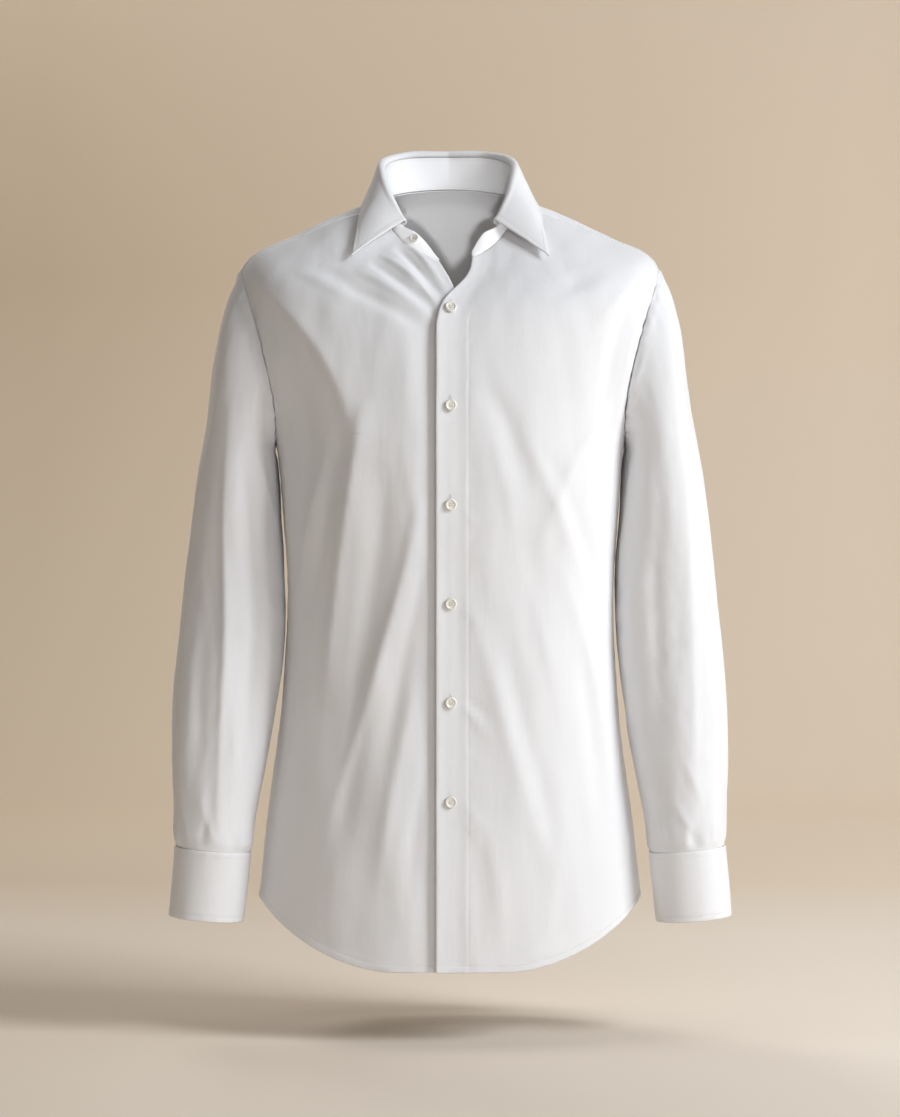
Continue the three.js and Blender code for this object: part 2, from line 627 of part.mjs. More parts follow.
function collarStandSolid() {
  const stations = [
    ...FRONT_NECK_PHI.right.map((phi) => -phi),
    ...YOKE_NECK_PHI.slice(1).map((phi) => -phi),
    ...YOKE_NECK_PHI.slice(1, -1).reverse(),
    ...[...FRONT_NECK_PHI.left].reverse(),
  ];
  const last = stations.length - 1;
  const grid = [0, 0.5, 1].map((share) => stations.map((phi, k) => {
    const height = share * (STAND_END_HEIGHTS[Math.min(k, last - k)] ?? 1);
    const n = share === 0 ? neckSeam(phi).n : standNormal(phi);
    return { p: standOuter(phi, height), n };
  }));
  drawBack(grid, 'bottom');
  return wallSolid(grid, COLLAR_WALL);
}

// One section of the leaf, from the top of the stand over the roll and down to its lower edge.
function leafSection(phi) {
  const out = standNormal(phi);
  const along = standTop(phi + 1).sub(standTop(phi - 1));
  const up = out.clone().cross(along).normalize();
  const start = standTop(phi).addScaledVector(up, LEAF_ROLL.gap);
  const centre = start.clone().addScaledVector(up, LEAF_ROLL.rise).addScaledVector(out, LEAF_ROLL.radius);
  const onRoll = (angle) => centre.clone()
    .addScaledVector(out, LEAF_ROLL.radius * Math.cos(angle * DEGREE))
    .addScaledVector(up, LEAF_ROLL.radius * Math.sin(angle * DEGREE));
  const roll = LEAF_ROLL.angles.map(onRoll);
  const rolled = roll[roll.length - 1];
  const edge = tablePoint(LEAF_EDGE, phi);
  const swell = column(LEAF_EDGE, 'swell', rowAt(LEAF_EDGE, 'phi', Math.abs(phi)));
  const fall = LEAF_FALL_SHARES.map((share) => rolled.clone().lerp(edge, share)
    .addScaledVector(out, swell * Math.sin(Math.PI * share)));
  return [start, ...roll, ...fall];
}

function collarLeafSolid() {
  const half = spread(LEAF_FRONT_PHI, 180, LEAF_STATIONS);
  const stations = [...half, ...half.slice(0, -1).map((phi) => -phi).reverse()];
  const sections = stations.map(leafSection);
  const points = sections[0].map((_, i) => sections.map((section) => section[i]));
  const grid = points.map((row, i) => row.map((p, j) => {
    const nextRow = points[Math.min(i + 1, points.length - 1)][j];
    const fromRow = points[Math.max(i - 1, 0)][j];
    const nextStation = row[Math.min(j + 1, row.length - 1)];
    const fromStation = row[Math.max(j - 1, 0)];
    const down = nextRow.clone().sub(fromRow);
    const round = nextStation.clone().sub(fromStation);
    return { p, n: down.cross(round).normalize() };
  }));
  return wallSolid(grid, COLLAR_WALL);
}

// ---------------------------------------------------------------- body panels

function frontSolid(left) {
  const side = sideOf(left);
  const table = left ? LEFT_EDGE : RIGHT_EDGE;
  const armRows = FRONT_ARM_T.map((t) => ({ ...armholePlace(t), t }));
  const shoulderRows = SHOULDER_SHARES.slice(1).map((share) => {
    const v = mix(FRONT_CORNER.v, NECK, share);
    return { v, phi: shoulderSeamPhi(v) };
  });
  const rows = [
    ...SIDE_ROWS.map((v) => ({ v, phi: SIDE_SEAM_PHI, t: v === UNDERARM ? -90 : undefined })),
    ...armRows,
    ...shoulderRows,
  ];
  const grid = rows.map((row) => spread(0, 1, FRONT_COLUMNS).map((share) => {
    const phi = mix(edgePhi(table, row.v), side * row.phi, share);
    const atNeck = row.v === NECK;
    if (share === 1 && row.t !== undefined) return armholeSeam(row.t, left);
    if (atNeck) return neckSeam(phi);
    return { p: front(phi, row.v, left), n: frontNormal(phi, row.v, left) };
  }));
  drawBack(grid, 'end');
  drawBack(grid, 'top');
  return wallSolid(grid, CLOTH_WALL);
}

const backYokeV = (share) => mix(BACK_CORNER.v, BACK_YOKE_CENTRE_V, Math.sin(share * 90 * DEGREE));
const backShares = spread(0, 1, BACK_COLUMNS);

function backSolid() {
  const rows = [
    ...SIDE_ROWS.map((v) => ({ v, phi: SIDE_SEAM_PHI, t: v === UNDERARM ? 270 : undefined })),
    ...BACK_ARM_T.map((t) => ({ ...armholePlace(t), t })),
  ];
  const cell = (row, share, left) => {
    if (share === 0 && row.t !== undefined) return armholeSeam(row.t, left);
    const climb = (backYokeV(share) - UNDERARM) / (BACK_CORNER.v - UNDERARM);
    const v = row.v > UNDERARM ? UNDERARM + (row.v - UNDERARM) * climb : row.v;
    const phi = sideOf(left) * mix(row.phi, 180, share);
    return { p: body(phi, v), n: bodyNormal(phi, v) };
  };
  const grid = rows.map((row) => [
    ...backShares.map((share) => cell(row, share, true)),
    ...backShares.slice(0, -1).reverse().map((share) => cell(row, share, false)),
  ]);
  drawBack(grid, 'start');
  drawBack(grid, 'end');
  drawBack(grid, 'top');
  return wallSolid(grid, CLOTH_WALL);
}

function yokeSolid() {
  const outerEnds = [
    ...YOKE_ARM_T.map((t) => ({ ...armholePlace(t), t })),
    ...backShares.slice(1).map((share) => ({ phi: mix(BACK_CORNER.phi, 180, share), v: backYokeV(share) })),
  ];
  const cell = (k, share, left) => {
    const outer = outerEnds[k];
    const phi = sideOf(left) * mix(outer.phi, YOKE_NECK_PHI[k], share);
    const v = mix(outer.v, NECK, share);
    if (share === 0 && outer.t !== undefined) return armholeSeam(outer.t, left);
    if (share === 1) return neckSeam(phi);
    return { p: body(phi, v), n: bodyNormal(phi, v) };
  };
  const places = outerEnds.map((_, k) => k);
  const grid = SHOULDER_SHARES.map((share) => [
    ...places.map((k) => cell(k, share, true)),
    ...places.slice(0, -1).reverse().map((k) => cell(k, share, false)),
  ]);
  ['start', 'end', 'bottom', 'top'].forEach((edge) => drawBack(grid, edge));
  return wallSolid(grid, CLOTH_WALL);
}

// ---------------------------------------------------------------- buttons

// A round button with a raised rim, standing on +Y of its own frame.
function buttonGeometry(scale = 1) {
  const { diameter, thickness, rim, dish, sides } = BUTTON;
  const radius = diameter / 2;
  const profile = [
    ...BUTTON_UNDERSIDE.map(({ out, up }) => new THREE.Vector2(out * radius, up * thickness)),
    new THREE.Vector2(radius - rim / 2, thickness),
    new THREE.Vector2(radius - rim, thickness - dish / 2),
    new THREE.Vector2(0, thickness - dish),
  ].map((point) => point.multiplyScalar(scale));
  return new THREE.LatheGeometry(profile, sides);
}

function buttonMesh(name, point, normal, scale) {
  const mesh = new THREE.Mesh(buttonGeometry(scale), BUTTON_MATERIAL);
  mesh.name = name;
  mesh.position.copy(point).addScaledVector(normal, BUTTON.lift);
  mesh.quaternion.setFromUnitVectors(new THREE.Vector3(0, 1, 0), normal);
  return mesh;
}

function frontButtons() {
  return Array.from({ length: FRONT_BUTTONS.count }, (_, k) => {
    const { phi, v } = frontPlace(FRONT_BUTTONS.x, FRONT_BUTTONS.topZ - k * FRONT_BUTTONS.pitch);
    return buttonMesh(`button_front_${k + 1}`, front(phi, v, true), frontNormal(phi, v, true));
  });
}

function collarButton() {
  const { phi, upStand, scale } = COLLAR_BUTTON;
  return buttonMesh('button_collar', standOuter(phi, upStand), standNormal(phi), scale);
}

function cuffButton(left) {
  const { beyondTurn, row, scale } = CUFF_BUTTON;
  const share = CUFF_FULL_TURN + beyondTurn;
  const name = `button_cuff_${left ? 'left' : 'right'}`;
  return buttonMesh(name, cuff(share, row, left), cuffNormal(share, row, left), scale);
}

// ---------------------------------------------------------------- the shirt

const CLOTH_MATERIAL = new THREE.MeshStandardMaterial({ color: 0xf3f3f5, roughness: 0.85, metalness: 0 });
const COLLAR_MATERIAL = new THREE.MeshStandardMaterial({ color: 0xf6f6f8, roughness: 0.8, metalness: 0 });
const BUTTON_MATERIAL = new THREE.MeshStandardMaterial({ color: 0xe8e2d2, roughness: 0.3, metalness: 0 });

function named(name, geometry, material = CLOTH_MATERIAL) {
  const mesh = new THREE.Mesh(geometry, material);
  mesh.name = name;
  return mesh;
}

const shirt = new THREE.Group();
shirt.add(
  named('front_left', frontSolid(true)),
  named('front_right', frontSolid(false)),
  named('back', backSolid()),
  named('yoke', yokeSolid()),
  named('collar_stand', collarStandSolid(), COLLAR_MATERIAL),
  named('collar_leaf', collarLeafSolid(), COLLAR_MATERIAL),
);
for (const left of [true, false]) {
  const side = left ? 'left' : 'right';
  shirt.add(
    named(`sleeve_${side}`, sleeveSolid(left)),
    named(`sleeve_placket_${side}`, sleevePlacketSolid(left)),
    named(`cuff_${side}`, cuffSolid(left), COLLAR_MATERIAL),
    cuffButton(left),
  );
}
shirt.add(collarButton(), ...frontButtons());

export default shirt;
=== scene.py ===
# The looks of the dress shirt: fine cloth laid on the part's own form, with its creases, seams,
# stitching, buttonholes and buttons. Sizes are in millimetres until a mesh is made. +Z is up, the
# front faces -Y and +X is the wearer's left. Angles are in degrees.

import math

import bpy
import numpy as np
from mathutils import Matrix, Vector


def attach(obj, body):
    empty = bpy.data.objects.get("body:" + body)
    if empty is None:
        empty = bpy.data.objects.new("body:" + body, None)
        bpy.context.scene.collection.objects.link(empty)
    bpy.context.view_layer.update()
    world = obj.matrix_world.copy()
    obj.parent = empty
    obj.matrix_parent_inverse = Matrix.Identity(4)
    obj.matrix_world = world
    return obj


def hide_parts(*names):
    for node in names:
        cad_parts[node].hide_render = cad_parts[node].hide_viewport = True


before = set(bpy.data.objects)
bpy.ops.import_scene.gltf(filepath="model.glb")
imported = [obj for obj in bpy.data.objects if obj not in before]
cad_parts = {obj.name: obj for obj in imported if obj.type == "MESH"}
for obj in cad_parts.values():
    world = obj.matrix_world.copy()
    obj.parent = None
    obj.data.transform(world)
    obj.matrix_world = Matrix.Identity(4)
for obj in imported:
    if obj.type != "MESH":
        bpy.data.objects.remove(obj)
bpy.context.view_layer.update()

# ---------------------------------------------------------------- tables


def table(names, text):
    """{column name: its values} from lines of numbers."""
    rows = [line.split("#")[0].split() for line in text.strip().splitlines()]
    return dict(zip(names.split(), np.array(rows, float).T))


# Rings of the body, hem to neck. square is the exponent of the outline, fall bends its height.
BODY_RINGS = table(
    "half_width y_side z_side y_front z_front y_back z_back square fall",
    """
    190.5 4 -691 -118 -752 120 -770 2.3 2.0  # hem
    182 2 -612 -115 -612 114 -612 2.3 2.0  # hip
    168 -1 -508 -111 -508 102 -508 2.3 2.0  # low waist
    162 -4 -388 -112 -388 93 -388 2.3 2.0  # waist
    167 -3 -312 -119 -312 102 -312 2.35 2.0  # ribs
    172.5 2 -236 -121 -232 113 -232 2.4 2.0  # underarm
    203 6 -145 -114 -156 118 -145 2.4 2.0  # chest
    211 8 -60 -103 -118 110 -86 2.4 1.9  # shoulder point
    152 5 -29.5 -91 -97 98 -31 2.35 1.8  # mid shoulder
    104 4 -6 -78 -81 83 5 2.2 1.6  # collar edge
    68 4 6 -66 -63 66 23 2.1 1.25  # neck seam
    """,
)
UNDERARM = 5
NECK = 10
EVEN_OUT = 0.5  # rings over which the body is evened out along its height
HEM_RISE = (0.18, 0.72)
SIDE_SEAM_PHI = 86
SHOULDER_SEAM_NECK_PHI = 76
BACK_CORNER_NECK_PHI = 104
BACK_YOKE_CENTRE_V = 7
ARMHOLE = {"mid_v": 6, "front_span": 27, "back_span": 32, "shoulder_phi": 90}
FRONT_YOKE_T = 66
BACK_YOKE_T = 142

# The free edge of each front: x by ring.
LEFT_EDGE = {
    "v": np.array([0, 6.6, 7, 7.5, 8, 8.5, 9, 9.5, 10]),
    "x": np.array([-13.5, -13.5, -12, -8, -1.5, 7, 15, 20, 21.5]),
}
RIGHT_EDGE = {
    "v": np.array([0, 7, 7.5, 8, 8.5, 9, 9.5, 10]),
    "x": np.array([15, 15, 12.5, 8, 3.5, 0, -5, -11]),
}
# Where the fronts lap: the left one stands proud and the right one dips, up to near the neck.
LAP = {
    "proud": 1.6,
    "start": -15,
    "width": 40,
    "dip": 2.1,
    "dip_start": -42,
    "dip_end": -16,
    "end_v": 9.7,
    "fade_v": 1.0,
}

SLEEVE_RINGS = table(
    "z inner outer y depth tilt",
    """
    -243 169.2 247.5 4 138 24
    -300 168.5 254.5 0 131 9
    -352 165 260.5 -4 119 4
    -395 163.9 264.6 -9 110 3
    -440 166.2 269.4 -14 103 3
    -495 173.2 273.6 -21 97 4
    -550 182.5 275 -27 91 5
    -607 193 272.6 -32 83 5
    -639 197 271 -35 77 5
    """,
)
SLEEVE_SQUARE = 2.1
SLEEVE_END = len(SLEEVE_RINGS["z"]) - 1
CUFF_RINGS = table(
    "z inner outer y depth tilt",
    """
    -639.6 196 272.4 -35 78 5
    -675 199.7 275.4 -36.5 75 5
    -708 203.5 278 -38 74 5
    """,
)
CUFF_LAP = {"t": 150, "half": 20, "ramp": 26, "lift": 2.8}
CUFF_TURN = 360 + 2 * CUFF_LAP["half"]
PLACKET = {"half_span": 15, "top": 5.6, "bottom": 7.96}

STAND_TOP = table(
    "phi x y z",
    """
    0 0 -56 -68
    10 10.5 -54 -59
    18 19.5 -51 -48.5
    30 33 -46 -34
    44 46.5 -38 -26
    54 54 -29 -9
    65 60 -17 10
    90 63.5 7 34.5
    120 56 37 47.5
    150 32 55 54.5
    180 0 60 55.5
    """,
)
STAND_LEAN = {"x": -1.8, "from_z": -20, "to_z": 35}
LEAF_EDGE = table(
    "phi x y z swell",
    """
    44 96.5 -71 -57 1
    66 92 -38 -23 1
    90 87.5 6 2.8 0
    120 76.2 50.2 8.2 1.5
    150 45 80.3 12.6 2.5
    180 0 89.3 14.6 2.5
    """,
)
LEAF_FRONT_PHI = 44
LEAF_ROLL = {"gap": 0.1, "radius": 4.2, "rise": 2.2}
COLLAR_WALL = 2.4

BUTTON_PITCH = 95.4
FRONT_BUTTONS = [(0.5, -111 - BUTTON_PITCH * k) for k in range(6)]

# Creases of the body: from x1 z1 by x2 z2 to x3 z3, a gentle ridge of that width and height (a
# trough where it is negative). skew steepens the flank toward the wearer's right.
CREASE_COLUMNS = "x1 z1 x2 z2 x3 z3 width height skew"
FRONT_CREASES = table(
    CREASE_COLUMNS,
    """
    -193 -84 -127 -154 -90 -250 12 6.2 0.5
    -166 -158 -146 -212 -130 -290 15 -4.2 0.0
    -191 -105 -181 -153 -173 -201 4.5 4.0 0.3
    -152 -72 -120 -88 -92 -104 8 2.0 0.3
    -140 -66 -112 -78 -88 -92 7 -1.6 0.0
    -84 -200 -104 -336 -124 -500 10 7.6 0.5
    -104 -226 -122 -320 -138 -420 8 -3.0 0.0
    -117 -234 -137 -316 -148 -390 7 2.8 0.3
    -60 -262 -76 -394 -102 -530 11 -2.8 0.0
    -46 -236 -39 -280 -31 -324 8 1.3 0.3
    -28 -290 -63 -432 -118 -610 9 5.2 0.5
    -22 -352 -44 -450 -66 -560 7 -1.8 0.0
    -34 -470 -56 -577 -72 -680 8 3.2 0.45
    -78 -470 -94 -560 -112 -660 10 -2.4 0.0
    -24 -560 -34 -620 -44 -700 7 -1.8 0.0
    -50 -380 -82 -482 -104 -566 6 1.4 0.4
    -144 -470 -154 -570 -160 -670 12 2.6 0.3
    -100 -600 -112 -660 -118 -730 11 1.8 0.2
    189 -104 171 -170 158 -244 6.5 3.6 0.3
    176 -100 158 -160 146 -226 8 -2.8 0.0
    156 -200 116 -268 84 -356 9 2.6 0.3
    180 -78 163 -100 144 -122 8 2.4 0.3
    146 -70 124 -84 98 -100 9 -1.8 0.0
    66 -226 101 -300 136 -396 11 2.8 0.3
    34 -186 58 -230 74 -290 10 -2.4 0.0
    40 -236 52 -280 60 -330 7 1.6 0.3
    96 -250 124 -320 146 -380 9 -2.2 0.0
    18 -386 52 -512 98 -668 11 2.3 0.3
    44 -400 78 -540 108 -650 10 -2.2 0.0
    100 -350 140 -470 158 -590 10 2.8 0.3
    126 -440 140 -540 150 -640 9 -1.8 0.0
    70 -360 92 -440 112 -520 8 1.4 0.3
    30 -600 44 -660 50 -730 9 1.6 0.3
    104 -610 100 -670 92 -720 10 1.6 0.3
    8 -494 21 -507 38 -528 3.6 1.8 0.3
    8 -488 24 -496 40 -512 3.2 -1.0 0.0
    8 -590 19 -599 34 -618 3.4 1.6 0.3
    8 -602 20 -614 33 -634 3.6 1.4 0.3
    8 -398 18 -409 28 -424 3.6 1.1 0.3
    8 -302 17 -312 26 -327 3.6 0.8 0.3
    -163 -402 -155 -396 -147 -389 4 1.3 0.0
    158 -392 150 -386 138 -382 5 1.2 0.0
    -144 -727 -122 -736 -98 -743 4 0.9 0.0
    60 -742 90 -734 118 -722 5 0.8 0.0
    """,
)
# Pulls in the right front from under the collar leaf to the first front button.
NECK_PULLS = table(
    CREASE_COLUMNS,
    """
    -70 -56 -42 -76 -8 -112 4.4 4.2 0.4
    -54 -48 -32 -70 -4 -104 4.0 -3.4 0.0
    -46 -44 -24 -64 -2 -98 3.4 2.8 0.4
    -92 -72 -58 -92 -14 -122 6.5 3.6 0.4
    -104 -88 -66 -106 -22 -132 7.0 -2.8 0.0
    -80 -62 -50 -84 -10 -117 5.0 -3.4 0.0
    """,
)
BACK_CREASES = table(
    CREASE_COLUMNS,
    """
    -124 -140 -100 -230 -72 -335 15 4.4 0.1
    128 -140 106 -240 80 -345 15 4.2 0.1
    -168 -150 -148 -205 -118 -262 11 3.0 0.2
    170 -155 150 -212 124 -270 11 3.2 0.2
    -96 -170 -78 -250 -60 -320 9 -2.0 0.0
    98 -175 84 -250 66 -330 9 -2.2 0.0
    -58 -300 -76 -440 -88 -610 16 -3.8 0.0
    12 -235 6 -420 -2 -640 17 3.6 0.1
    76 -330 88 -480 98 -650 16 -3.8 0.0
    -146 -375 -136 -490 -124 -610 13 3.0 0.1
    146 -365 140 -470 130 -570 13 3.0 0.1
    -30 -330 -40 -420 -46 -520 9 1.6 0.2
    42 -350 50 -440 54 -560 9 1.6 0.2
    -150 -392 -112 -380 -76 -388 8 1.8 0.0
    -140 -412 -104 -404 -72 -414 7 -1.5 0.0
    152 -386 118 -372 84 -380 8 1.8 0.0
    140 -404 106 -396 78 -402 7 -1.4 0.0
    -46 -400 -6 -392 40 -398 9 1.2 0.0
    -110 -620 -116 -680 -112 -740 12 1.8 0.0
    -30 -640 -24 -700 -28 -760 12 1.6 0.0
    58 -640 52 -700 60 -755 12 1.7 0.0
    124 -610 130 -660 128 -720 12 1.6 0.0
    -70 -100 -66 -150 -58 -210 9 1.2 0.0
    66 -100 60 -150 54 -215 9 1.2 0.0
    """,
)
# Creases of the sleeves, the same but by t round the sleeve and row along it.
SLEEVE_CREASE_COLUMNS = "t1 row1 t2 row2 t3 row3 width height skew"
SLEEVE_CREASES = {
    "left": table(
        SLEEVE_CREASE_COLUMNS,
        """
    26 -0.7 24 3.0 6 7.4 11 3.4 -0.1
    -8 -0.4 -14 2.6 -26 5.8 9 -2.6 0.0
    -52 -0.2 -60 1.4 -66 3.0 8 2.4 0.0
    62 -0.6 70 2.4 60 6.6 13 2.4 0.0
    -20 2.4 -52 3.0 -84 3.4 6 2.0 0.0
    -10 3.2 -48 3.7 -86 3.9 6 1.8 0.0
    14 3.8 -30 4.3 -72 4.5 6 -1.4 0.0
    0 6.0 10 6.4 24 6.8 4.2 1.4 0.2
    -22 6.6 -4 7.1 12 7.6 4.2 1.5 0.2
    -48 6.8 -40 7.4 -36 7.95 5 1.5 0.0
    40 7.0 36 7.5 34 7.95 5 1.4 0.0
    5 7.2 4 7.6 2 7.96 4 -1.2 0.0
    128 -0.5 136 2.6 138 6.0 14 3.2 0.0
    168 0.2 178 2.4 186 5.2 11 -2.8 0.0
    214 0.4 206 2.0 196 4.0 11 3.0 0.0
    236 1.8 208 2.6 176 3.2 7 1.8 0.0
    238 2.8 212 3.4 184 3.9 7 1.8 0.0
    100 5.4 112 6.4 122 7.6 8 1.7 0.0
    182 6.2 178 7.0 174 7.95 6 2.2 0.0
    206 6.4 200 7.2 196 7.95 6 -1.8 0.0
    84 6.6 86 7.3 88 7.95 6 1.6 0.0
        """,
    ),
    "right": table(
        SLEEVE_CREASE_COLUMNS,
        """
    -12 -0.9 -18 -0.6 -24 -0.3 4.5 1.7 0.0
    16 -0.3 6 3.2 -10 7.5 8 4.4 0.45
    -14 -0.1 -25 2.6 -36 6.2 9 -4.4 0.0
    -18 -0.4 -45 0.6 -70 1.5 7 2.4 0.2
    58 -0.4 60 2.6 54 6.2 13 2.4 0.0
    30 3.2 26 5.0 24 6.8 9 -2.0 0.0
    -20 2.6 -54 3.2 -86 3.5 6 1.9 0.0
    -6 3.5 -46 4.0 -82 4.2 6 1.6 0.0
    20 6.5 2 7.3 -12 7.95 6 1.8 0.1
    46 6.6 40 7.3 34 7.95 5.5 1.6 0.0
    4 6.9 10 7.4 12 7.95 4.5 -1.6 0.0
    -50 7.0 -46 7.5 -44 7.95 5 1.4 0.0
    130 -0.4 142 2.4 146 6.2 14 -3.0 0.0
    176 0.4 186 2.8 192 6.0 12 3.6 0.0
    222 0.6 214 2.2 206 4.2 11 -2.6 0.0
    238 2.0 210 2.8 180 3.3 7 1.8 0.0
    236 3.0 212 3.6 184 4.1 7 1.7 0.0
    104 5.2 114 6.3 124 7.6 8 1.8 0.0
    184 6.2 180 7.0 176 7.95 6 2.2 0.0
    208 6.4 202 7.2 198 7.95 6 -1.8 0.0
    86 6.6 88 7.3 90 7.95 6 1.6 0.0
        """,
    ),
}

# ---------------------------------------------------------------- small helpers


def sin(angle):
    return np.sin(np.radians(angle))


def cos(angle):
    return np.cos(np.radians(angle))


def smooth(value):
    s = np.clip(value, 0, 1)
    return s * s * (3 - 2 * s)


def mix(a, b, share):
    return a + (b - a) * share


def unit(vectors):
    length = np.linalg.norm(vectors, axis=-1, keepdims=True)
    return vectors / np.maximum(length, 1e-9)


def stack(*parts):
    return np.stack(np.broadcast_arrays(*parts), axis=-1).astype(float)


def bell(distance, width):
    """1 at no distance, falling smoothly to nothing past that width."""
    return np.exp(-((distance / width) ** 2))


def ledge(distance, place, ramp=0.9):
    """1 up to just before a place, then down to 0 over the ramp."""
    return 1 - smooth((distance - place + 0.2) / ramp)


def running_length(line, axis=0):
    """The length along lines of points, from 0 at their start."""
    steps = np.linalg.norm(np.diff(line, axis=axis), axis=-1)
    return np.insert(np.cumsum(steps, axis), 0, 0.0, axis)


def nearest_place(grid, target):
    """The row and column of the grid point nearest to a target."""
    away = np.linalg.norm(grid - target, axis=-1)
    return np.unravel_index(away.argmin(), away.shape)


def column(values, place):
    """A smooth column through evenly numbered rows, with no overshoot between them."""
    last = len(values) - 1
    k = np.clip(np.floor(place).astype(int), 0, last - 1)
    s = place - k
    step = np.diff(values)
    product = step[:-1] * step[1:]
    total = np.where(product > 0, step[:-1] + step[1:], 1.0)
    slope = np.concatenate([step[:1], np.where(product > 0, 2 * product / total, 0.0), step[-1:]])
    leave, arrive = slope[k] * (s**3 - 2 * s**2 + s), slope[k + 1] * (s**3 - s**2)
    return mix(values[k], values[k + 1], 3 * s**2 - 2 * s**3) + leave + arrive


def place_in(values, wanted):
    """The row number at which a rising column takes a value."""
    return np.interp(wanted, values, np.arange(len(values)))


def outline(angle, square):
    """Unit outline of a superellipse: its sideways and forward shares."""
    side, front = sin(angle), cos(angle)
    reach = (np.abs(side) ** square + np.abs(front) ** square) ** (-1 / square)
    return side * reach, front * reach


WAVE_COUNT = 9
WAVE_LENGTHS = (0.7, 1.5)  # shortest and longest wave, as shares of the feature length


def waves(points, seed, length, stretch=(1, 1, 1)):
    """Smooth random height, about -1 to 1, in features of that length."""
    rng = np.random.default_rng(seed)
    total = np.zeros(points.shape[:-1])
    for _ in range(WAVE_COUNT):
        way = rng.normal(size=3)
        way *= 2 * math.pi / (np.linalg.norm(way) * length * rng.uniform(*WAVE_LENGTHS))
        total += np.sin(points @ (way / np.array(stretch)) + rng.uniform(0, 2 * math.pi))
    return total / math.sqrt(WAVE_COUNT)


def unevenness(points, seed, layers):
    """Soft random relief in layers of height, feature length and stretch."""
    return sum(
        height * waves(points, seed + k, length, stretch) for k, (height, length, stretch) in enumerate(layers)
    )


# ---------------------------------------------------------------- the body's surface


def body_at(phi, v):
    ring = {name: column(values, v) for name, values in BODY_RINGS.items()}
    side, front = outline(phi, ring["square"])
    back = front < 0
    quarter = np.minimum(np.abs(phi), np.abs(180 - np.abs(phi))) / 90
    at_hem = 1 - smooth((quarter - HEM_RISE[0]) / HEM_RISE[1])
    toward_centre = np.where(v < 1, at_hem, np.abs(cos(phi)) ** ring["fall"])
    y = mix(ring["y_side"], np.where(back, ring["y_back"], ring["y_front"]), np.abs(front))
    z = mix(ring["z_side"], np.where(back, ring["z_back"], ring["z_front"]), toward_centre)
    return stack(ring["half_width"] * side, y, z)


def body(phi, v):
    """The body's surface, evened out along its height."""
    phi, v = np.broadcast_arrays(np.asarray(phi, float), np.asarray(v, float))
    reach = np.minimum(EVEN_OUT, np.minimum(v, NECK - v))
    taps = ((-1, 1), (-0.5, 4), (0, 6), (0.5, 4), (1, 1))
    return sum(weight * body_at(phi, v + reach * step) for step, weight in taps) / 16


def front(phi, v, left):
    """The body's surface with the lapping edge proud, or the front below it dipped."""
    point = body(phi, v)
    fade = 1 - smooth((v - (LAP["end_v"] - LAP["fade_v"])) / LAP["fade_v"])
    if left:
        beyond = smooth((point[..., 0] - LAP["start"]) / LAP["width"])
        point[..., 1] -= fade * LAP["proud"] * (1 - beyond)
    else:
        dip = smooth((point[..., 0] - LAP["dip_start"]) / (LAP["dip_end"] - LAP["dip_start"]))
        point[..., 1] += fade * LAP["dip"] * dip
    return point


def armhole_place(t):
    v = ARMHOLE["mid_v"] + sin(t)
    mid = mix(SIDE_SEAM_PHI, ARMHOLE["shoulder_phi"], np.clip((v - UNDERARM) / 2, 0, 1))
    forward = cos(t)
    span = np.where(forward > 0, ARMHOLE["front_span"], ARMHOLE["back_span"])
    return mid - span * forward, v


FRONT_CORNER_PHI, FRONT_CORNER_V = armhole_place(FRONT_YOKE_T)
BACK_CORNER_PHI, BACK_CORNER_V = armhole_place(BACK_YOKE_T)


def edge_phi(edge, v, shift=0.0):
    """Where a free edge, or a line that far beside it, crosses ring v."""
    x = column(edge["x"], place_in(edge["v"], v)) + shift
    return np.degrees(np.arcsin(x / column(BODY_RINGS["half_width"], v)))


# ---------------------------------------------------------------- sleeves, cuffs and collar surfaces


def ring_point(rings, t, row, side, bulge=0.0):
    ring = {name: column(values, row) for name, values in rings.items()}
    ahead_share, lateral_share = outline(90 - t, SLEEVE_SQUARE)
    lateral = ((ring["outer"] - ring["inner"]) / 2 + bulge) * lateral_share
    ahead = (ring["depth"] / 2 + bulge) * ahead_share
    x = (ring["inner"] + ring["outer"]) / 2 + lateral * cos(ring["tilt"])
    return stack(side * x, ring["y"] - ahead, ring["z"] + lateral * sin(ring["tilt"]))


def sleeve(t, row, side):
    """The sleeve's surface: t 90 is its outer side and 0 its front; row -1 is the armhole seam."""
    t, row = np.broadcast_arrays(np.asarray(t, float), np.asarray(row, float))
    phi, v = armhole_place(t)
    start = body(side * phi, v)
    end = ring_point(SLEEVE_RINGS, t, np.zeros_like(row), side)
    length = np.linalg.norm(end - start, axis=-1, keepdims=True)
    forward = cos(t)
    leave = unit(stack(side * (0.5 + 0.55 * forward**2), -0.45 * forward, -0.9)) * length
    arrive = unit(ring_point(SLEEVE_RINGS, t, np.full_like(row, 0.02), side) - end) * length
    s = np.clip(row + 1, 0, 1)[..., None]
    head = start * (2 * s**3 - 3 * s**2 + 1) + leave * (s**3 - 2 * s**2 + s)
    head = head + end * (3 * s**2 - 2 * s**3) + arrive * (s**3 - s**2)
    return np.where((row < 0)[..., None], head, ring_point(SLEEVE_RINGS, t, np.maximum(row, 0), side))


def cuff(share, row, side):
    """The cuff as a wrapped band: share 0 is its under end and 1 its upper end."""
    t = CUFF_LAP["t"] - CUFF_LAP["half"] + CUFF_TURN * share
    full, ramp = 360 / CUFF_TURN, CUFF_LAP["ramp"] / CUFF_TURN
    lift = CUFF_LAP["lift"] * smooth((share - full + ramp) / ramp)
    return ring_point(CUFF_RINGS, t, row, side, lift)


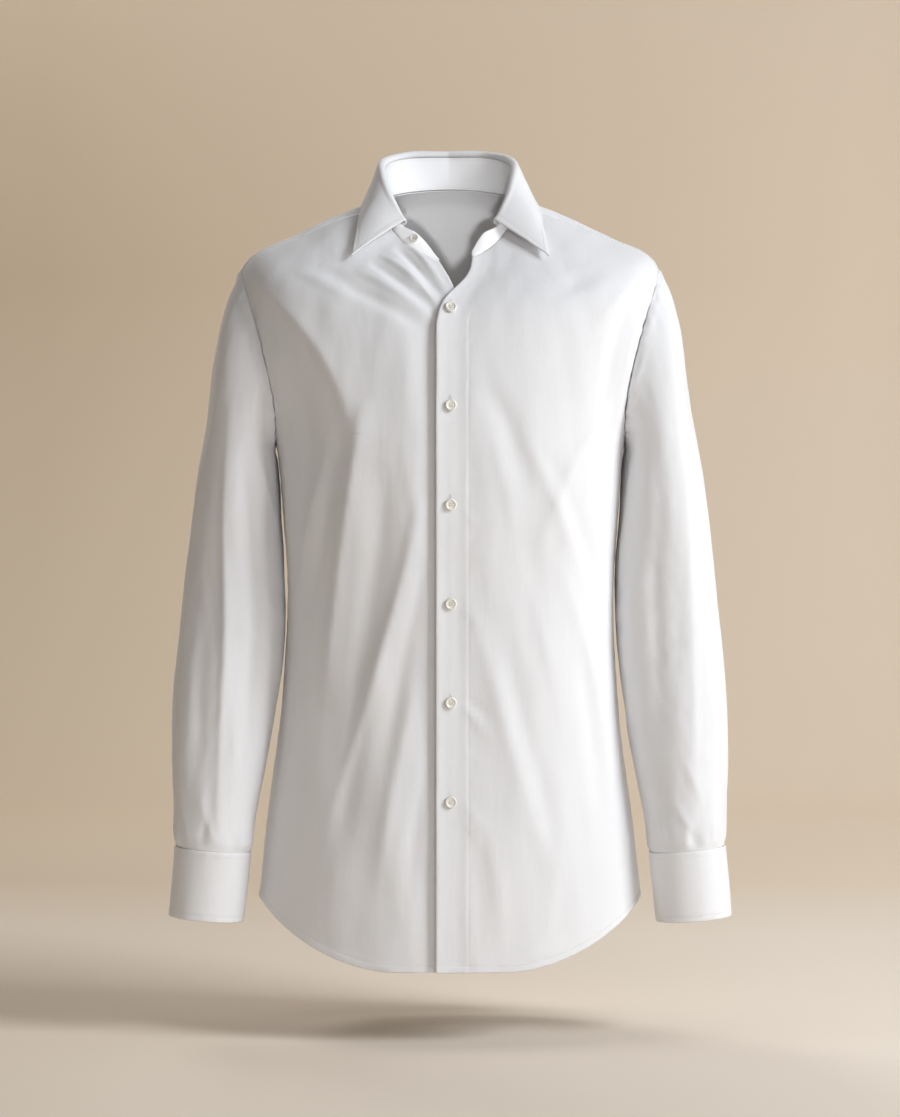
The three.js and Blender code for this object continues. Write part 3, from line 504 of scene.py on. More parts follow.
def collar_place(rows, phi, names="x y z"):
    turned = (phi + 540) % 360 - 180
    row = place_in(rows["phi"], np.abs(turned))
    values = [column(rows[name], row) for name in names.split()]
    if names == "x y z":
        values[0] = np.where(turned < 0, -1, 1) * values[0]
    return stack(*values)


def stand_top(phi):
    point = collar_place(STAND_TOP, phi)
    span = STAND_LEAN["to_z"] - STAND_LEAN["from_z"]
    point[..., 0] += STAND_LEAN["x"] * np.clip((point[..., 2] - STAND_LEAN["from_z"]) / span, 0, 1)
    return point


def stand_normal(phi):
    around = body(phi + 0.2, NECK) - body(phi - 0.2, NECK)
    return unit(np.cross(around, stand_top(phi) - body(phi, NECK)))


def stand_outer(phi, share):
    top = stand_top(phi) + stand_normal(phi) * COLLAR_WALL
    return mix(body(phi, NECK), top, share)


# ---------------------------------------------------------------- grids and heights


def surface_normals(grid, outward, closed=False):
    """Unit normals of a grid, turned the way `outward` says at its first cell."""
    if closed:
        across = np.roll(grid, -1, 1) - np.roll(grid, 1, 1)
    else:
        across = np.gradient(grid, axis=1)
    normal = unit(np.cross(across, np.gradient(grid, axis=0)))
    if (normal * outward).sum() < 0:
        normal = -normal
    return normal


def edge_distance(grid, edge):
    """How far each point of a grid is from one of its edges, along its own row or column."""
    axis = 1 if edge in ("start", "end") else 0
    distance = running_length(grid, axis)
    if edge in ("end", "top"):
        distance = distance.take([-1], axis=axis) - distance
    return distance


def inner_distance(grid, edges):
    """How far each point of a grid is from the nearest of some of its edges."""
    return np.minimum.reduce([edge_distance(grid, edge) for edge in edges])


def spaced_shares(curve, rows, near, far, count, coarse=48):
    """Shares along each row of curve(row numbers, shares), at distances `near` from its start and
    `far` from its end, with `count` even steps between."""
    shares = np.linspace(0, 1, coarse)
    length = running_length(curve(rows[:, None], shares[None]), 1)
    out = []
    for total, lengths in zip(length[:, -1], length):
        scale = min(1.0, 0.45 * total / max(near[-1], far[-1], 1e-9))
        begin, finish = np.array(near) * scale, total - np.array(far[::-1]) * scale
        middle = np.linspace(begin[-1], finish[0], count + 1)[1:-1]
        out.append(np.interp(np.concatenate([begin, middle, finish]), lengths, shares))
    return np.array(out)


def crease_paths(creases, lift):
    """The creases as lines in space: lift(a, b) gives a table's places on the surface."""
    names = list(creases)
    share = np.linspace(0, 1, 18)
    curve = [(1 - share) * (1 - 2 * share), 4 * share * (1 - share), share * (2 * share - 1)]
    a = sum(creases[names[2 * i]][:, None] * curve[i] for i in range(3))
    b = sum(creases[names[2 * i + 1]][:, None] * curve[i] for i in range(3))
    paths = lift(a, b)
    return [
        {"path": path, "width": w, "height": h, "skew": k}
        for path, w, h, k in zip(paths, creases["width"], creases["height"], creases["skew"])
    ]


CREST = 0.3  # how round the crest of a ridge is, as a share of its width
RIDGE_FALL = 1.1  # how fast a ridge falls away from its crest
CREASE_REACH = 4.5  # in widths: past this a crease has no height
CREASE_TAPER = 0.8  # how soon a crease reaches its height from its ends


def crease_heights(points, normals, creases):
    """Troughs are soft, while ridges run up to a narrower crest."""
    total = np.zeros(points.shape[:-1])
    for crease in creases:
        path, width = crease["path"], crease["width"]
        reach = CREASE_REACH * width
        near = ((points > path.min(0) - reach) & (points < path.max(0) + reach)).all(-1)
        if not near.any():
            continue
        p, n = points[near], normals[near]
        start, step = path[:-1], np.diff(path, axis=0)
        off = p[:, None] - start
        share = np.clip((off * step).sum(-1) / np.maximum((step**2).sum(-1), 1e-9), 0, 1)
        off -= share[..., None] * step
        k = np.linalg.norm(off, axis=-1).argmin(1)
        i = np.arange(len(p))
        off, step, share = off[i, k], step[k], share[i, k]
        across = unit(np.cross(step, n))
        side = (off * across).sum(-1)
        beyond = np.sqrt(np.maximum((off**2).sum(-1) - side**2, 0))
        place = side / (width * (1 - crease["skew"] * np.sign(side)))
        along = (k + share) / len(start)
        taper = np.sin(math.pi * np.clip(along, 0, 1)) ** CREASE_TAPER
        ridge = np.exp(RIDGE_FALL * (CREST - np.hypot(place, CREST)))
        shape = bell(place, 1) if crease["height"] < 0 else ridge
        total[near] += crease["height"] * taper * shape * bell(beyond, width)
    return total


RIM_WIDTH = 0.8  # how far a rim is rounded, and how wide a line of stitching is pressed in


def turned_edge(distance, stitch):
    """A folded and stitched edge: rounded at its rim, thicker up to the stitching, pressed there."""
    height = 0.35 * ledge(distance, stitch) - 0.45 * bell(distance, 0.7)
    return height - 0.22 * bell(distance - stitch, RIM_WIDTH)


def band_edge(distance, stitch):
    """The same for a band with an interlining: rounded and pressed, with no step."""
    return -0.5 * bell(distance, RIM_WIDTH) - 0.22 * bell(distance - stitch, RIM_WIDTH)


def seam_groove(distance):
    return -0.55 * bell(distance, 0.9)


def puckers(points, distance, seed, reach=7.0, size=0.3, length=11.0):
    """Short ripples beside a line of stitching, strongest 3 mm from it."""
    return size * waves(points, seed, length) * bell(distance - 3, reach)


# ---------------------------------------------------------------- meshes


def plain_object(name, vertices, faces, material, uv=None):
    mesh = bpy.data.meshes.new(name)
    mesh.from_pydata((np.asarray(vertices) / 1000).tolist(), [], np.asarray(faces).tolist())
    if uv is not None:
        layer = mesh.uv_layers.new(name="cloth")
        loops = np.zeros(len(mesh.loops), int)
        mesh.loops.foreach_get("vertex_index", loops)
        layer.data.foreach_set("uv", (np.asarray(uv)[loops] / 1000).ravel())
    mesh.polygons.foreach_set("use_smooth", np.ones(len(mesh.polygons), bool))
    mesh.materials.append(material)
    mesh.update()
    made = bpy.data.objects.new(name, mesh)
    bpy.context.scene.collection.objects.link(made)
    return made


def mesh_object(name, vertices, faces, material, uv=None):
    made = plain_object(name, vertices, faces, material, uv)
    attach(made, "root")
    return made


def shell(name, grid, normals, wall, material, closed=False):
    """A thin cloth wall behind a grid of outer points, as one closed mesh."""
    rows, columns = grid.shape[:2]
    number = np.arange(rows * columns).reshape(rows, columns)
    u, v = running_length(grid, 1), running_length(grid, 0)
    u = u - u[:, columns // 2 : columns // 2 + 1]
    if closed:
        number = np.concatenate([number, number[:, :1]], axis=1)
    inner = number + rows * columns

    def rim(line, inner_line):
        """Faces from the outer side to the inner one along an edge."""
        return stack(line[:-1], line[1:], inner_line[1:], inner_line[:-1])

    quads = [
        stack(number[:-1, :-1], number[:-1, 1:], number[1:, 1:], number[1:, :-1]).reshape(-1, 4),
        stack(inner[:-1, :-1], inner[1:, :-1], inner[1:, 1:], inner[:-1, 1:]).reshape(-1, 4),
        rim(number[0, ::-1], inner[0, ::-1]),
        rim(number[-1], inner[-1]),
    ]
    if not closed:
        quads += [rim(number[:, 0], inner[:, 0]), rim(number[::-1, -1], inner[::-1, -1])]
    quads = np.concatenate(quads).astype(int)
    first = grid[1, 1] - grid[0, 1]
    if np.dot(np.cross(grid[0, 2] - grid[0, 1], first), normals[0, 1]) < 0:
        quads = quads[:, ::-1]
    vertices = np.concatenate([grid.reshape(-1, 3), (grid - normals * wall).reshape(-1, 3)])
    uv = np.tile(stack(u, v).reshape(-1, 2), (2, 1))
    return mesh_object(name, vertices, quads, material, uv)


def inset_line(grid, normals, edge, distance, trim=(0.0, 1.0)):
    """The line on a grid at that distance from one of its edges: points and normals."""
    if edge in ("bottom", "top"):
        grid, normals = grid.transpose(1, 0, 2), normals.transpose(1, 0, 2)
    if edge in ("end", "top"):
        grid, normals = grid[:, ::-1], normals[:, ::-1]
    first, last = (edge_share * (len(grid) - 1) for edge_share in trim)
    kept = slice(int(first), math.ceil(last) + 1)
    points, ways = [], []
    for line, ups in zip(grid[kept], normals[kept]):
        length = running_length(line)
        points.append([np.interp(distance, length, line[:, i]) for i in range(3)])
        ways.append([np.interp(distance, length, ups[:, i]) for i in range(3)])
    return np.array(points), unit(np.array(ways))


STITCH_PITCH = 2.7
STITCH_SINK = 0.15  # how deep the lower corner of a stitch lies


class Stitching:
    """Short stitches gathered along lines and made as one mesh."""

    def __init__(self):
        self.vertices, self.faces, self.count = [], [], 0

    def add(self, centres, along, up, length=2.0, width=0.5, height=0.24):
        across = np.cross(up, along)
        corners = [
            centres - along * length / 2,
            centres + along * length / 2,
            centres + across * width / 2,
            centres + up * height,
            centres - across * width / 2,
            centres - up * STITCH_SINK,
        ]
        count = len(centres)
        ring = [2, 3, 4, 5]
        base = self.count + 6 * np.arange(count)[:, None]
        for a, b in zip(ring, ring[1:] + ring[:1]):
            self.faces += [base + np.array([0, b, a]), base + np.array([1, a, b])]
        self.vertices.append(np.stack(corners, axis=1).reshape(-1, 3))
        self.count += 6 * count

    def one(self, centre, along, up, *size):
        self.add(centre[None], along[None], up[None], *size)

    def inset(self, grid, normals, edge, distance, trim=(0.0, 1.0)):
        """A line of stitches on a grid at that distance from one of its edges."""
        points, ups = inset_line(grid, normals, edge, distance, trim)
        length = running_length(points)
        places = np.arange(STITCH_PITCH / 2, length[-1], STITCH_PITCH)
        if len(places) < 2:
            return

        def at(values, shift=0.0):
            return np.stack([np.interp(places + shift, length, values[:, i]) for i in range(3)], axis=1)

        along = unit(at(points, 0.6) - at(points, -0.6))
        up = unit(at(ups))
        up = unit(up - along * (up * along).sum(-1, keepdims=True))
        self.add(at(points), along, up)

    def make(self, name, material):
        return mesh_object(name, np.concatenate(self.vertices), np.concatenate(self.faces), material)


# ---------------------------------------------------------------- how the cloth lies

HEM_STITCH = 6.5
FACING_STITCH = 31.0
ARMHOLE_STITCH = 7.5
SIDE_STITCH = 6.0
YOKE_STITCH = 1.8
COLLAR_STITCH = 5.5
CUFF_STITCH = 5.5
CLOTH_WALL = 0.9
PLACKET_WALL = 0.8
BAND_WALL = 1.9
STAND_WALL = 2.0
HEM_EASE = 16.0  # creases reach their full height this far above the hem
ARMHOLE_EASE, NECK_EASE = 10.0, 36.0  # and this far from these seams
# Unevenness between the creases: height, feature length and how far it is stretched along x, y, z.
BODY_UNEVEN = [(0.8, 64, (1, 1, 4)), (0.3, 26, (1, 1, 5)), (0.06, 13, (1, 1, 4))]
SLEEVE_UNEVEN = [(0.8, 52, (1, 1, 3.5)), (0.35, 26, (1, 1, 2.5)), (0.12, 12, (1, 1, 1.6))]
# Distances from an edge at which a grid has lines.
SEAM_STEPS = [0, 0.7, 1.4, 2.2, 3.2, 4.4, 5.4, 6.2, 7.0, 7.8, 8.8]
BAND_STEPS = [0, 0.6, 1.2, 2.0, 3.2, 4.4, 5.0, 5.6, 6.2, 7.2]
FREE_EDGE_STEPS = [0, 0.5, 1.1, 2, 3.2, 5, 7.5, 10, 13, 16, 19, 22, 25, 27.5]
FREE_EDGE_STEPS += [29.2, 30.2, 31, 31.8, 32.8, 34.5]


def find_place(x, z, back=False):
    """Where the body's surface lies at x and z: the nearest of a coarse grid, then Newton's method."""
    coarse_phi, coarse_v = np.meshgrid(np.linspace(-82, 82, 60) + 180 * back, np.linspace(0, 9.9, 60))
    coarse = body(coarse_phi, coarse_v).reshape(-1, 3)
    nearest = ((coarse[:, 0] - x[..., None]) ** 2 + (coarse[:, 2] - z[..., None]) ** 2).argmin(-1)
    phi, v = coarse_phi.ravel()[nearest], coarse_v.ravel()[nearest]
    for _ in range(5):
        here = body(phi, v)
        phi_x, _, phi_z = np.moveaxis((body(phi + 0.2, v) - here) / 0.2, -1, 0)
        v_x, _, v_z = np.moveaxis((body(phi, v + 0.02) - here) / 0.02, -1, 0)
        miss_x, miss_z = x - here[..., 0], z - here[..., 2]
        scale = phi_x * v_z - phi_z * v_x
        scale = np.where(np.abs(scale) < 1e-6, 1e-6, scale)
        phi = phi + np.clip((miss_x * v_z - miss_z * v_x) / scale, -4, 4)
        v = np.clip(v + np.clip((miss_z * phi_x - miss_x * phi_z) / scale, -0.3, 0.3), 0, NECK)
    return phi, v


def seam_fade(points, curve, reach):
    """0 on a seam, rising to 1 at that distance from it."""
    parts = np.array_split(points.reshape(-1, 3), 24)
    nearest = np.concatenate([np.linalg.norm(part[:, None] - curve, axis=-1).min(1) for part in parts])
    return smooth(nearest.reshape(points.shape[:-1]) / reach)


def lay_out(curve, start, stop, count):
    """Places from start to stop, evenly spaced along a curve."""
    fine = np.linspace(start, stop, 600)
    length = running_length(curve(fine))
    return np.interp(np.linspace(0, length[-1], count), length, fine)


def on_armhole(t, side=1):
    phi, v = armhole_place(t)
    return body(side * phi, v)


ARMHOLES = [on_armhole(np.linspace(-90, 270, 140), side) for side in (1, -1)]
NECK_SEAM = body(np.linspace(0, 360, 100), float(NECK))
FRONT_PATHS, NECK_PULL_PATHS, BACK_PATHS = (
    crease_paths(creases, lambda x, z: body(*find_place(x, z, creases is BACK_CREASES)))
    for creases in (FRONT_CREASES, NECK_PULLS, BACK_CREASES)
)


def body_height(points, normals):
    height = crease_heights(points, normals, FRONT_PATHS + BACK_PATHS)
    height += unevenness(points, 11, BODY_UNEVEN)
    for curve in ARMHOLES:
        height *= mix(0.1, 1, seam_fade(points, curve, ARMHOLE_EASE))
    return height * mix(0.05, 1, seam_fade(points, NECK_SEAM, NECK_EASE))


def dressed(name, grid, normals, height, wall, material, closed=False):
    """Moves a grid out by a height and makes its shell; gives the shell, its points and normals."""
    points = grid + normals * height[..., None]
    ups = surface_normals(points, normals, closed)
    return shell(name, points, ups, wall, material, closed), points, ups


# ---------------------------------------------------------------- materials


class Shading:
    """A material's nodes, with helpers for noise and bumps in the object's own coordinates."""

    def __init__(self, name):
        self.material = bpy.data.materials.new(name)
        self.material.use_nodes = True
        self.nodes = self.material.node_tree.nodes
        self.shader = self.nodes["Principled BSDF"]
        self.place = self.nodes.new("ShaderNodeTexCoord").outputs["Object"]

    def link(self, source, target):
        self.material.node_tree.links.new(source, target)

    def noise(self, scale, stretch=(1, 1, 1), detail=2.0, turn=(0, 0, 0)):
        mapping = self.nodes.new("ShaderNodeMapping")
        mapping.inputs["Scale"].default_value = stretch
        mapping.inputs["Rotation"].default_value = turn
        self.link(self.place, mapping.inputs["Vector"])
        texture = self.nodes.new("ShaderNodeTexNoise")
        texture.inputs["Scale"].default_value = scale
        texture.inputs["Detail"].default_value = detail
        self.link(mapping.outputs["Vector"], texture.inputs["Vector"])
        return texture.outputs["Fac"]

    def spread(self, value, low, high, to_low=0.0, to_high=1.0):
        ramp = self.nodes.new("ShaderNodeMapRange")
        ends = {"From Min": low, "From Max": high, "To Min": to_low, "To Max": to_high}
        for socket, number in ends.items():
            ramp.inputs[socket].default_value = number
        self.link(value, ramp.inputs["Value"])
        return ramp.outputs["Result"]

    def blend(self, share, one, other):
        node = self.nodes.new("ShaderNodeMix")
        node.data_type = "RGBA"
        if isinstance(share, float):
            node.inputs["Factor"].default_value = share
        else:
            self.link(share, node.inputs["Factor"])
        for socket, colour in ((node.inputs["A"], one), (node.inputs["B"], other)):
            if isinstance(colour, tuple):
                socket.default_value = (*colour, 1)
            else:
                self.link(colour, socket)
        return node.outputs["Result"]

    def bump(self, height, distance, strength=1.0):
        node = self.nodes.new("ShaderNodeBump")
        node.inputs["Distance"].default_value = distance
        node.inputs["Strength"].default_value = strength
        self.link(height, node.inputs["Height"])
        held = self.shader.inputs["Normal"].links
        if held:
            self.link(held[0].from_socket, node.inputs["Normal"])
        self.link(node.outputs["Normal"], self.shader.inputs["Normal"])

    def colour(self, socket):
        self.link(socket, self.shader.inputs["Base Color"])

    def roughness(self, socket):
        self.link(socket, self.shader.inputs["Roughness"])

    def set(self, **values):
        for name, value in values.items():
            self.shader.inputs[name.replace("_", " ")].default_value = value


WARP_GRAIN, WEFT_GRAIN = (2400, 2400, 210), (230, 230, 2900)  # grains a metre along x, y, z
# Painted shade: the cloth's colour is darkened in the gaps between the threads.
THREAD_GAP_SHADE = 0.93  # how much of the light colour is left between the threads


def poplin(name, light, shade, roughness, crumple):
    """White cotton poplin: fine warp and weft, faint clouding and the softness of pressed cloth."""
    look = Shading(name)
    warp = look.noise(1.0, WARP_GRAIN, 1.0)
    weft = look.noise(1.0, WEFT_GRAIN, 1.0)
    cloud = look.noise(9.0, (1, 1, 0.7), 3.0)
    threads = look.blend(0.5, warp, weft)
    base = look.blend(look.spread(cloud, 0.35, 0.65), shade, light)
    # Painted shade between the threads, blended in where the weave's noise says.
    gap_shade_colour = tuple(THREAD_GAP_SHADE * c for c in light)
    look.colour(look.blend(look.spread(threads, 0.3, 0.7, 0.0, 0.35), base, gap_shade_colour))
    look.roughness(look.spread(threads, 0.3, 0.7, roughness - 0.05, roughness + 0.05))
    look.bump(look.noise(30.0, (1, 1, 0.22), 3.0), 0.0009 * crumple)
    look.bump(look.noise(110.0, (1, 1, 0.3), 2.0), 0.0002 * crumple)
    look.bump(threads, 0.00012, 0.7)
    look.set(Sheen_Weight=0.22, Sheen_Roughness=0.45, Specular_IOR_Level=0.25)
    look.set(Subsurface_Weight=0.35, Subsurface_Radius=(1.0, 1.0, 1.0), Subsurface_Scale=0.0015)
    return look.material


def thread():
    look = Shading("sewing thread")
    twist = look.noise(1.0, (2600, 2600, 2600), 1.0)
    look.colour(look.blend(look.spread(twist, 0.35, 0.65), (0.70, 0.69, 0.68), (0.86, 0.86, 0.87)))
    look.bump(twist, 0.0001)
    look.set(Roughness=0.55, Sheen_Weight=0.2)
    return look.material


def shell_button():
    look = Shading("pearly button")
    swirl = look.noise(210.0, (1, 1, 0.45), 3.0, (0.5, 0.3, 0.8))
    fine = look.noise(1.0, (900, 900, 320), 2.0, (0.2, 0.9, 0.1))
    tint = look.blend(look.spread(swirl, 0.38, 0.64), (0.79, 0.75, 0.66), (0.90, 0.875, 0.81))
    look.colour(look.blend(look.spread(fine, 0.3, 0.7, 0.0, 0.25), tint, (0.90, 0.86, 0.80)))
    look.roughness(look.spread(fine, 0.3, 0.7, 0.2, 0.34))
    look.bump(swirl, 0.00006)
    look.set(Coat_Weight=0.35, Coat_Roughness=0.12, IOR=1.53)
    return look.material


def hole_shade():
    # Painted shade: a near-black colour for the shade inside a buttonhole's slit.
    look = Shading("buttonhole slit")
    look.colour(look.blend(look.noise(400.0), (0.16, 0.155, 0.15), (0.26, 0.25, 0.245)))
    look.set(Roughness=0.9)
    return look.material


WHITE, SHADED_WHITE = (0.885, 0.885, 0.895), (0.85, 0.852, 0.866)
BODY_CLOTH = poplin("body poplin", WHITE, SHADED_WHITE, 0.82, 1.0)
SLEEVE_CLOTH = poplin("sleeve poplin", WHITE, SHADED_WHITE, 0.82, 1.15)
BAND_CLOTH = poplin("interlined poplin", (0.895, 0.895, 0.905), (0.87, 0.872, 0.883), 0.76, 0.35)
THREAD = thread()
BUTTON_SHELL = shell_button()
SLIT_SHADE = hole_shade()

stitching = Stitching()
# Dark sheets of painted shade in the buttonhole slits.
slit_shades = Stitching()

# ---------------------------------------------------------------- body panels

HEM_ROWS = np.arange(0, 0.121, 0.006)
SIDE_ROWS = np.concatenate([HEM_ROWS, np.linspace(0.14, UNDERARM, 112)])
SIDE_PHI = np.full(len(SIDE_ROWS), float(SIDE_SEAM_PHI))
NECK_ROWS = NECK - np.array([0.2, 0.15, 0.1, 0.06, 0.03, 0])
TOP_V = np.concatenate([np.linspace(FRONT_CORNER_V, 9.74, 38)[1:], NECK_ROWS])
FACING_TOP_V = 6.9  # the facing is stitched down below this
HEM_CALM, EDGE_CALM = 0.55, 0.25  # what is left of the creases at the hem and at a free edge


def side_edge_heights(from_seam, rows_on_arm, on_front):
    """The relief beside a panel's outer seams: the armhole is stitched on the body's side of it, and
    the side seam is felled toward the back."""
    arm = rows_on_arm[:, None]
    inset = np.where(arm, ARMHOLE_STITCH, 0.0 if on_front else SIDE_STITCH)
    band = 0.32 * ledge(from_seam, inset) - 0.24 * bell(from_seam - inset, RIM_WIDTH)
    return np.where(inset > 0, band, 0.0) + np.where(arm, 2.2, 1.0) * seam_groove(from_seam)


def hem_height(grid, from_hem, seed):
    return turned_edge(from_hem, HEM_STITCH) + puckers(grid, from_hem, seed, size=0.22)


def facing_height(grid, from_edge, v):
    """The left front's turned facing: its stitched line, lifted edge and dips below the buttons."""
    straight = 1 - smooth((v[:, None] - 6.7) / 0.4)
    from_line = from_edge - FACING_STITCH
    height = 0.3 * straight * (ledge(from_line, -0.2, 1.1) - bell(from_line, 0.9))
    height += straight * puckers(grid, from_line, 23, 5.0, 0.16, 10.0)
    height += 1.5 * bell(from_edge, 7) - 0.6 * bell(from_edge - 22, 7)
    for x, z in FRONT_BUTTONS:
        height -= 0.55 * bell(np.hypot(grid[..., 0] - x, grid[..., 2] - z), 9)
    return height


def front_panel(left):
    side = 1 if left else -1
    arm_phi, arm_v = armhole_place(lay_out(on_armhole, -90, FRONT_YOKE_T, 46)[1:])
    climb = (TOP_V - FRONT_CORNER_V) / (NECK - FRONT_CORNER_V)
    v = np.concatenate([SIDE_ROWS, arm_v, TOP_V])
    outer = np.concatenate([SIDE_PHI, arm_phi, mix(FRONT_CORNER_PHI, SHOULDER_SEAM_NECK_PHI, climb)])
    start = edge_phi(LEFT_EDGE if left else RIGHT_EDGE, v)

    def place(row, share):
        return front(mix(start[row], side * outer[row], share), v[row], left)

    rows = np.arange(len(v))
    grid = place(rows[:, None], spaced_shares(place, rows, FREE_EDGE_STEPS, SEAM_STEPS, 42))
    normals = surface_normals(grid, grid * (1, 1, 0))
    from_edge, from_seam, from_hem, from_neck = (
        edge_distance(grid, edge) for edge in ("start", "end", "bottom", "top")
    )
    on_arm = (rows >= len(SIDE_ROWS)) & (rows < len(SIDE_ROWS) + len(arm_v))
    height = body_height(grid, normals)
    height *= mix(EDGE_CALM, 1, smooth((from_edge - 18) / 26)) * mix(HEM_CALM, 1, smooth(from_hem / HEM_EASE))
    height += hem_height(grid, from_hem, 21) + side_edge_heights(from_seam, on_arm, True)
    height += on_arm[:, None] * puckers(grid, from_seam, 22, 9.0, 0.5, 9.0)
    height += seam_groove(from_neck) - 0.4 * bell(from_edge, RIM_WIDTH)
    if left:
        height += facing_height(grid, from_edge, v)
    else:
        height -= 1.1 * bell(grid[..., 0] + 18, 5.0) * (1 - smooth(v[:, None] - 6.6))
        height += crease_heights(grid, normals, NECK_PULL_PATHS)
    name = "cloth_front_left" if left else "cloth_front_right"
    made, points, ups = dressed(name, grid, normals, height, CLOTH_WALL, BODY_CLOTH)
    stitching.inset(points, ups, "bottom", HEM_STITCH)
    trim = np.flatnonzero(on_arm)[[0, -1]] / (len(rows) - 1)
    stitching.inset(points, ups, "end", ARMHOLE_STITCH, trim)
    if left:
        stitching.inset(points, ups, "start", FACING_STITCH, (0.0, np.argmax(v > FACING_TOP_V) / len(v)))
    return made, points, ups


def yoke_seam_v(share):
    return mix(BACK_CORNER_V, BACK_YOKE_CENTRE_V, np.sin(share * math.pi / 2))


def back_panel():
    arm_phi, arm_v = armhole_place(lay_out(on_armhole, 270, BACK_YOKE_T, 40)[1:])
    outer, v = np.concatenate([SIDE_PHI, arm_phi]), np.concatenate([SIDE_ROWS, arm_v])
    rows = np.arange(len(v))

    def place(row, across):
        turn = 2 * across - 1
        climb = (yoke_seam_v(1 - np.abs(turn)) - UNDERARM) / (BACK_CORNER_V - UNDERARM)
        height = np.where(v[row] > UNDERARM, UNDERARM + (v[row] - UNDERARM) * climb, v[row])
        return body(180 + turn * (180 - outer[row]), height)

    grid = place(rows[:, None], spaced_shares(place, rows, SEAM_STEPS, SEAM_STEPS, 118, 120))
    normals = surface_normals(grid, grid * (1, 1, 0))
    from_hem, from_top = edge_distance(grid, "bottom"), edge_distance(grid, "top")
    height = body_height(grid, normals) * mix(HEM_CALM, 1, smooth(from_hem / HEM_EASE))
    height += hem_height(grid, from_hem, 24)
    height += seam_groove(from_top) + puckers(grid, from_top, 25, 10.0, 0.3, 14.0)
    for edge in ("start", "end"):
        from_seam = edge_distance(grid, edge)
        height += side_edge_heights(from_seam, rows >= len(SIDE_ROWS), False)
        height += puckers(grid, from_seam, 26, 8.0, 0.2, 10.0)
    made, points, ups = dressed("cloth_back", grid, normals, height, CLOTH_WALL, BODY_CLOTH)
    stitching.inset(points, ups, "bottom", HEM_STITCH)
    split = (len(SIDE_ROWS) - 1) / (len(rows) - 1)
    for edge in ("start", "end"):
        stitching.inset(points, ups, edge, SIDE_STITCH, (0.0, split))
        stitching.inset(points, ups, edge, ARMHOLE_STITCH, (split, 1.0))
    return made


def with_mirror(values, whole=0):
    """A row of values, then the same mirrored about its last one; angles with a whole turn."""
    rest = values[-2::-1]
    return np.concatenate([values, whole - rest if whole else rest])


YOKE_ARM_STEPS = 30
YOKE_ROWS = np.array([0, 0.006, 0.012, 0.019, 0.028, *np.linspace(0.04, 0.95, 34), 0.965, 0.978, 0.989, 1])


def yoke_panel():
    arm_t = lay_out(on_armhole, FRONT_YOKE_T, BACK_YOKE_T, YOKE_ARM_STEPS)
    arm_phi, arm_v = armhole_place(arm_t)
    share = np.linspace(0, 1, 46)[1:]
    neck_corners = [SHOULDER_SEAM_NECK_PHI, BACK_CORNER_NECK_PHI]
    arm_neck_phi = np.interp(arm_t, [FRONT_YOKE_T, BACK_YOKE_T], neck_corners)
    outer_phi = with_mirror(np.concatenate([arm_phi, mix(BACK_CORNER_PHI, 180, share)]), 360)
    neck_phi = with_mirror(np.concatenate([arm_neck_phi, mix(BACK_CORNER_NECK_PHI, 180, share)]), 360)
    outer_v = with_mirror(np.concatenate([arm_v, yoke_seam_v(share)]))
    on_arm = with_mirror(np.arange(YOKE_ARM_STEPS + len(share)) < YOKE_ARM_STEPS)
    up = YOKE_ROWS[:, None]
    grid = body(mix(outer_phi, neck_phi, up), mix(outer_v, NECK, up))
    normals = surface_normals(grid, stack(0, 0, np.ones(grid.shape[:2])))
    from_outer = edge_distance(grid, "bottom")
    height = body_height(grid, normals)
    height += seam_groove(from_outer) + seam_groove(edge_distance(grid, "top"))
    inset = np.where(on_arm, ARMHOLE_STITCH, YOKE_STITCH)
    height += 0.3 * ledge(from_outer, inset) - 0.2 * bell(from_outer - inset, RIM_WIDTH)
    for edge in ("start", "end"):
        from_seam = edge_distance(grid, edge)
        height += seam_groove(from_seam) + 0.35 * ledge(from_seam, 6.7, 1.2)
    made, points, ups = dressed("cloth_yoke", grid, normals, height, CLOTH_WALL, BODY_CLOTH)
    arm_share = (YOKE_ARM_STEPS - 1) / (len(outer_phi) - 1)
    stitching.inset(points, ups, "bottom", ARMHOLE_STITCH, (0.0, arm_share))
    stitching.inset(points, ups, "bottom", YOKE_STITCH, (arm_share, 1 - arm_share))
    stitching.inset(points, ups, "bottom", ARMHOLE_STITCH, (1 - arm_share, 1.0))
    for edge in ("start", "end"):
        stitching.inset(points, ups, edge, YOKE_STITCH, (0.0, 0.97))
    return made


front_left, points_left, ups_left = front_panel(True)
front_right, _, _ = front_panel(False)
back_piece = back_panel()
yoke_piece = yoke_panel()

# ---------------------------------------------------------------- sleeves and cuffs

SIDES = {"left": 1, "right": -1}
SEEDS = {"left": 31, "right": 41}
ROW_LENGTH = 45  # about how long a row of the sleeve is above the cuff
HEAD_ROWS = np.array([0, 0.004, 0.008, 0.014, 0.022, 0.032]) - 1
TUCK_ROWS = SLEEVE_END + np.array([-0.06, -0.045, -0.03, -0.02, -0.01, 0, 0.012, 0.025, 0.045, 0.08])
SLEEVE_ROWS = np.concatenate(
    [HEAD_ROWS, np.linspace(-0.955, 0, 40), np.linspace(0, SLEEVE_END - 0.08, 96)[1:], TUCK_ROWS]
)[:, None]
TUCK = 1.8  # how far the sleeve's end goes in under the cuff
GATHERS = {"rise": 1.0, "size": 0.8, "length": 17, "stretch": (1, 1, 6), "middle": 14, "reach": 20}


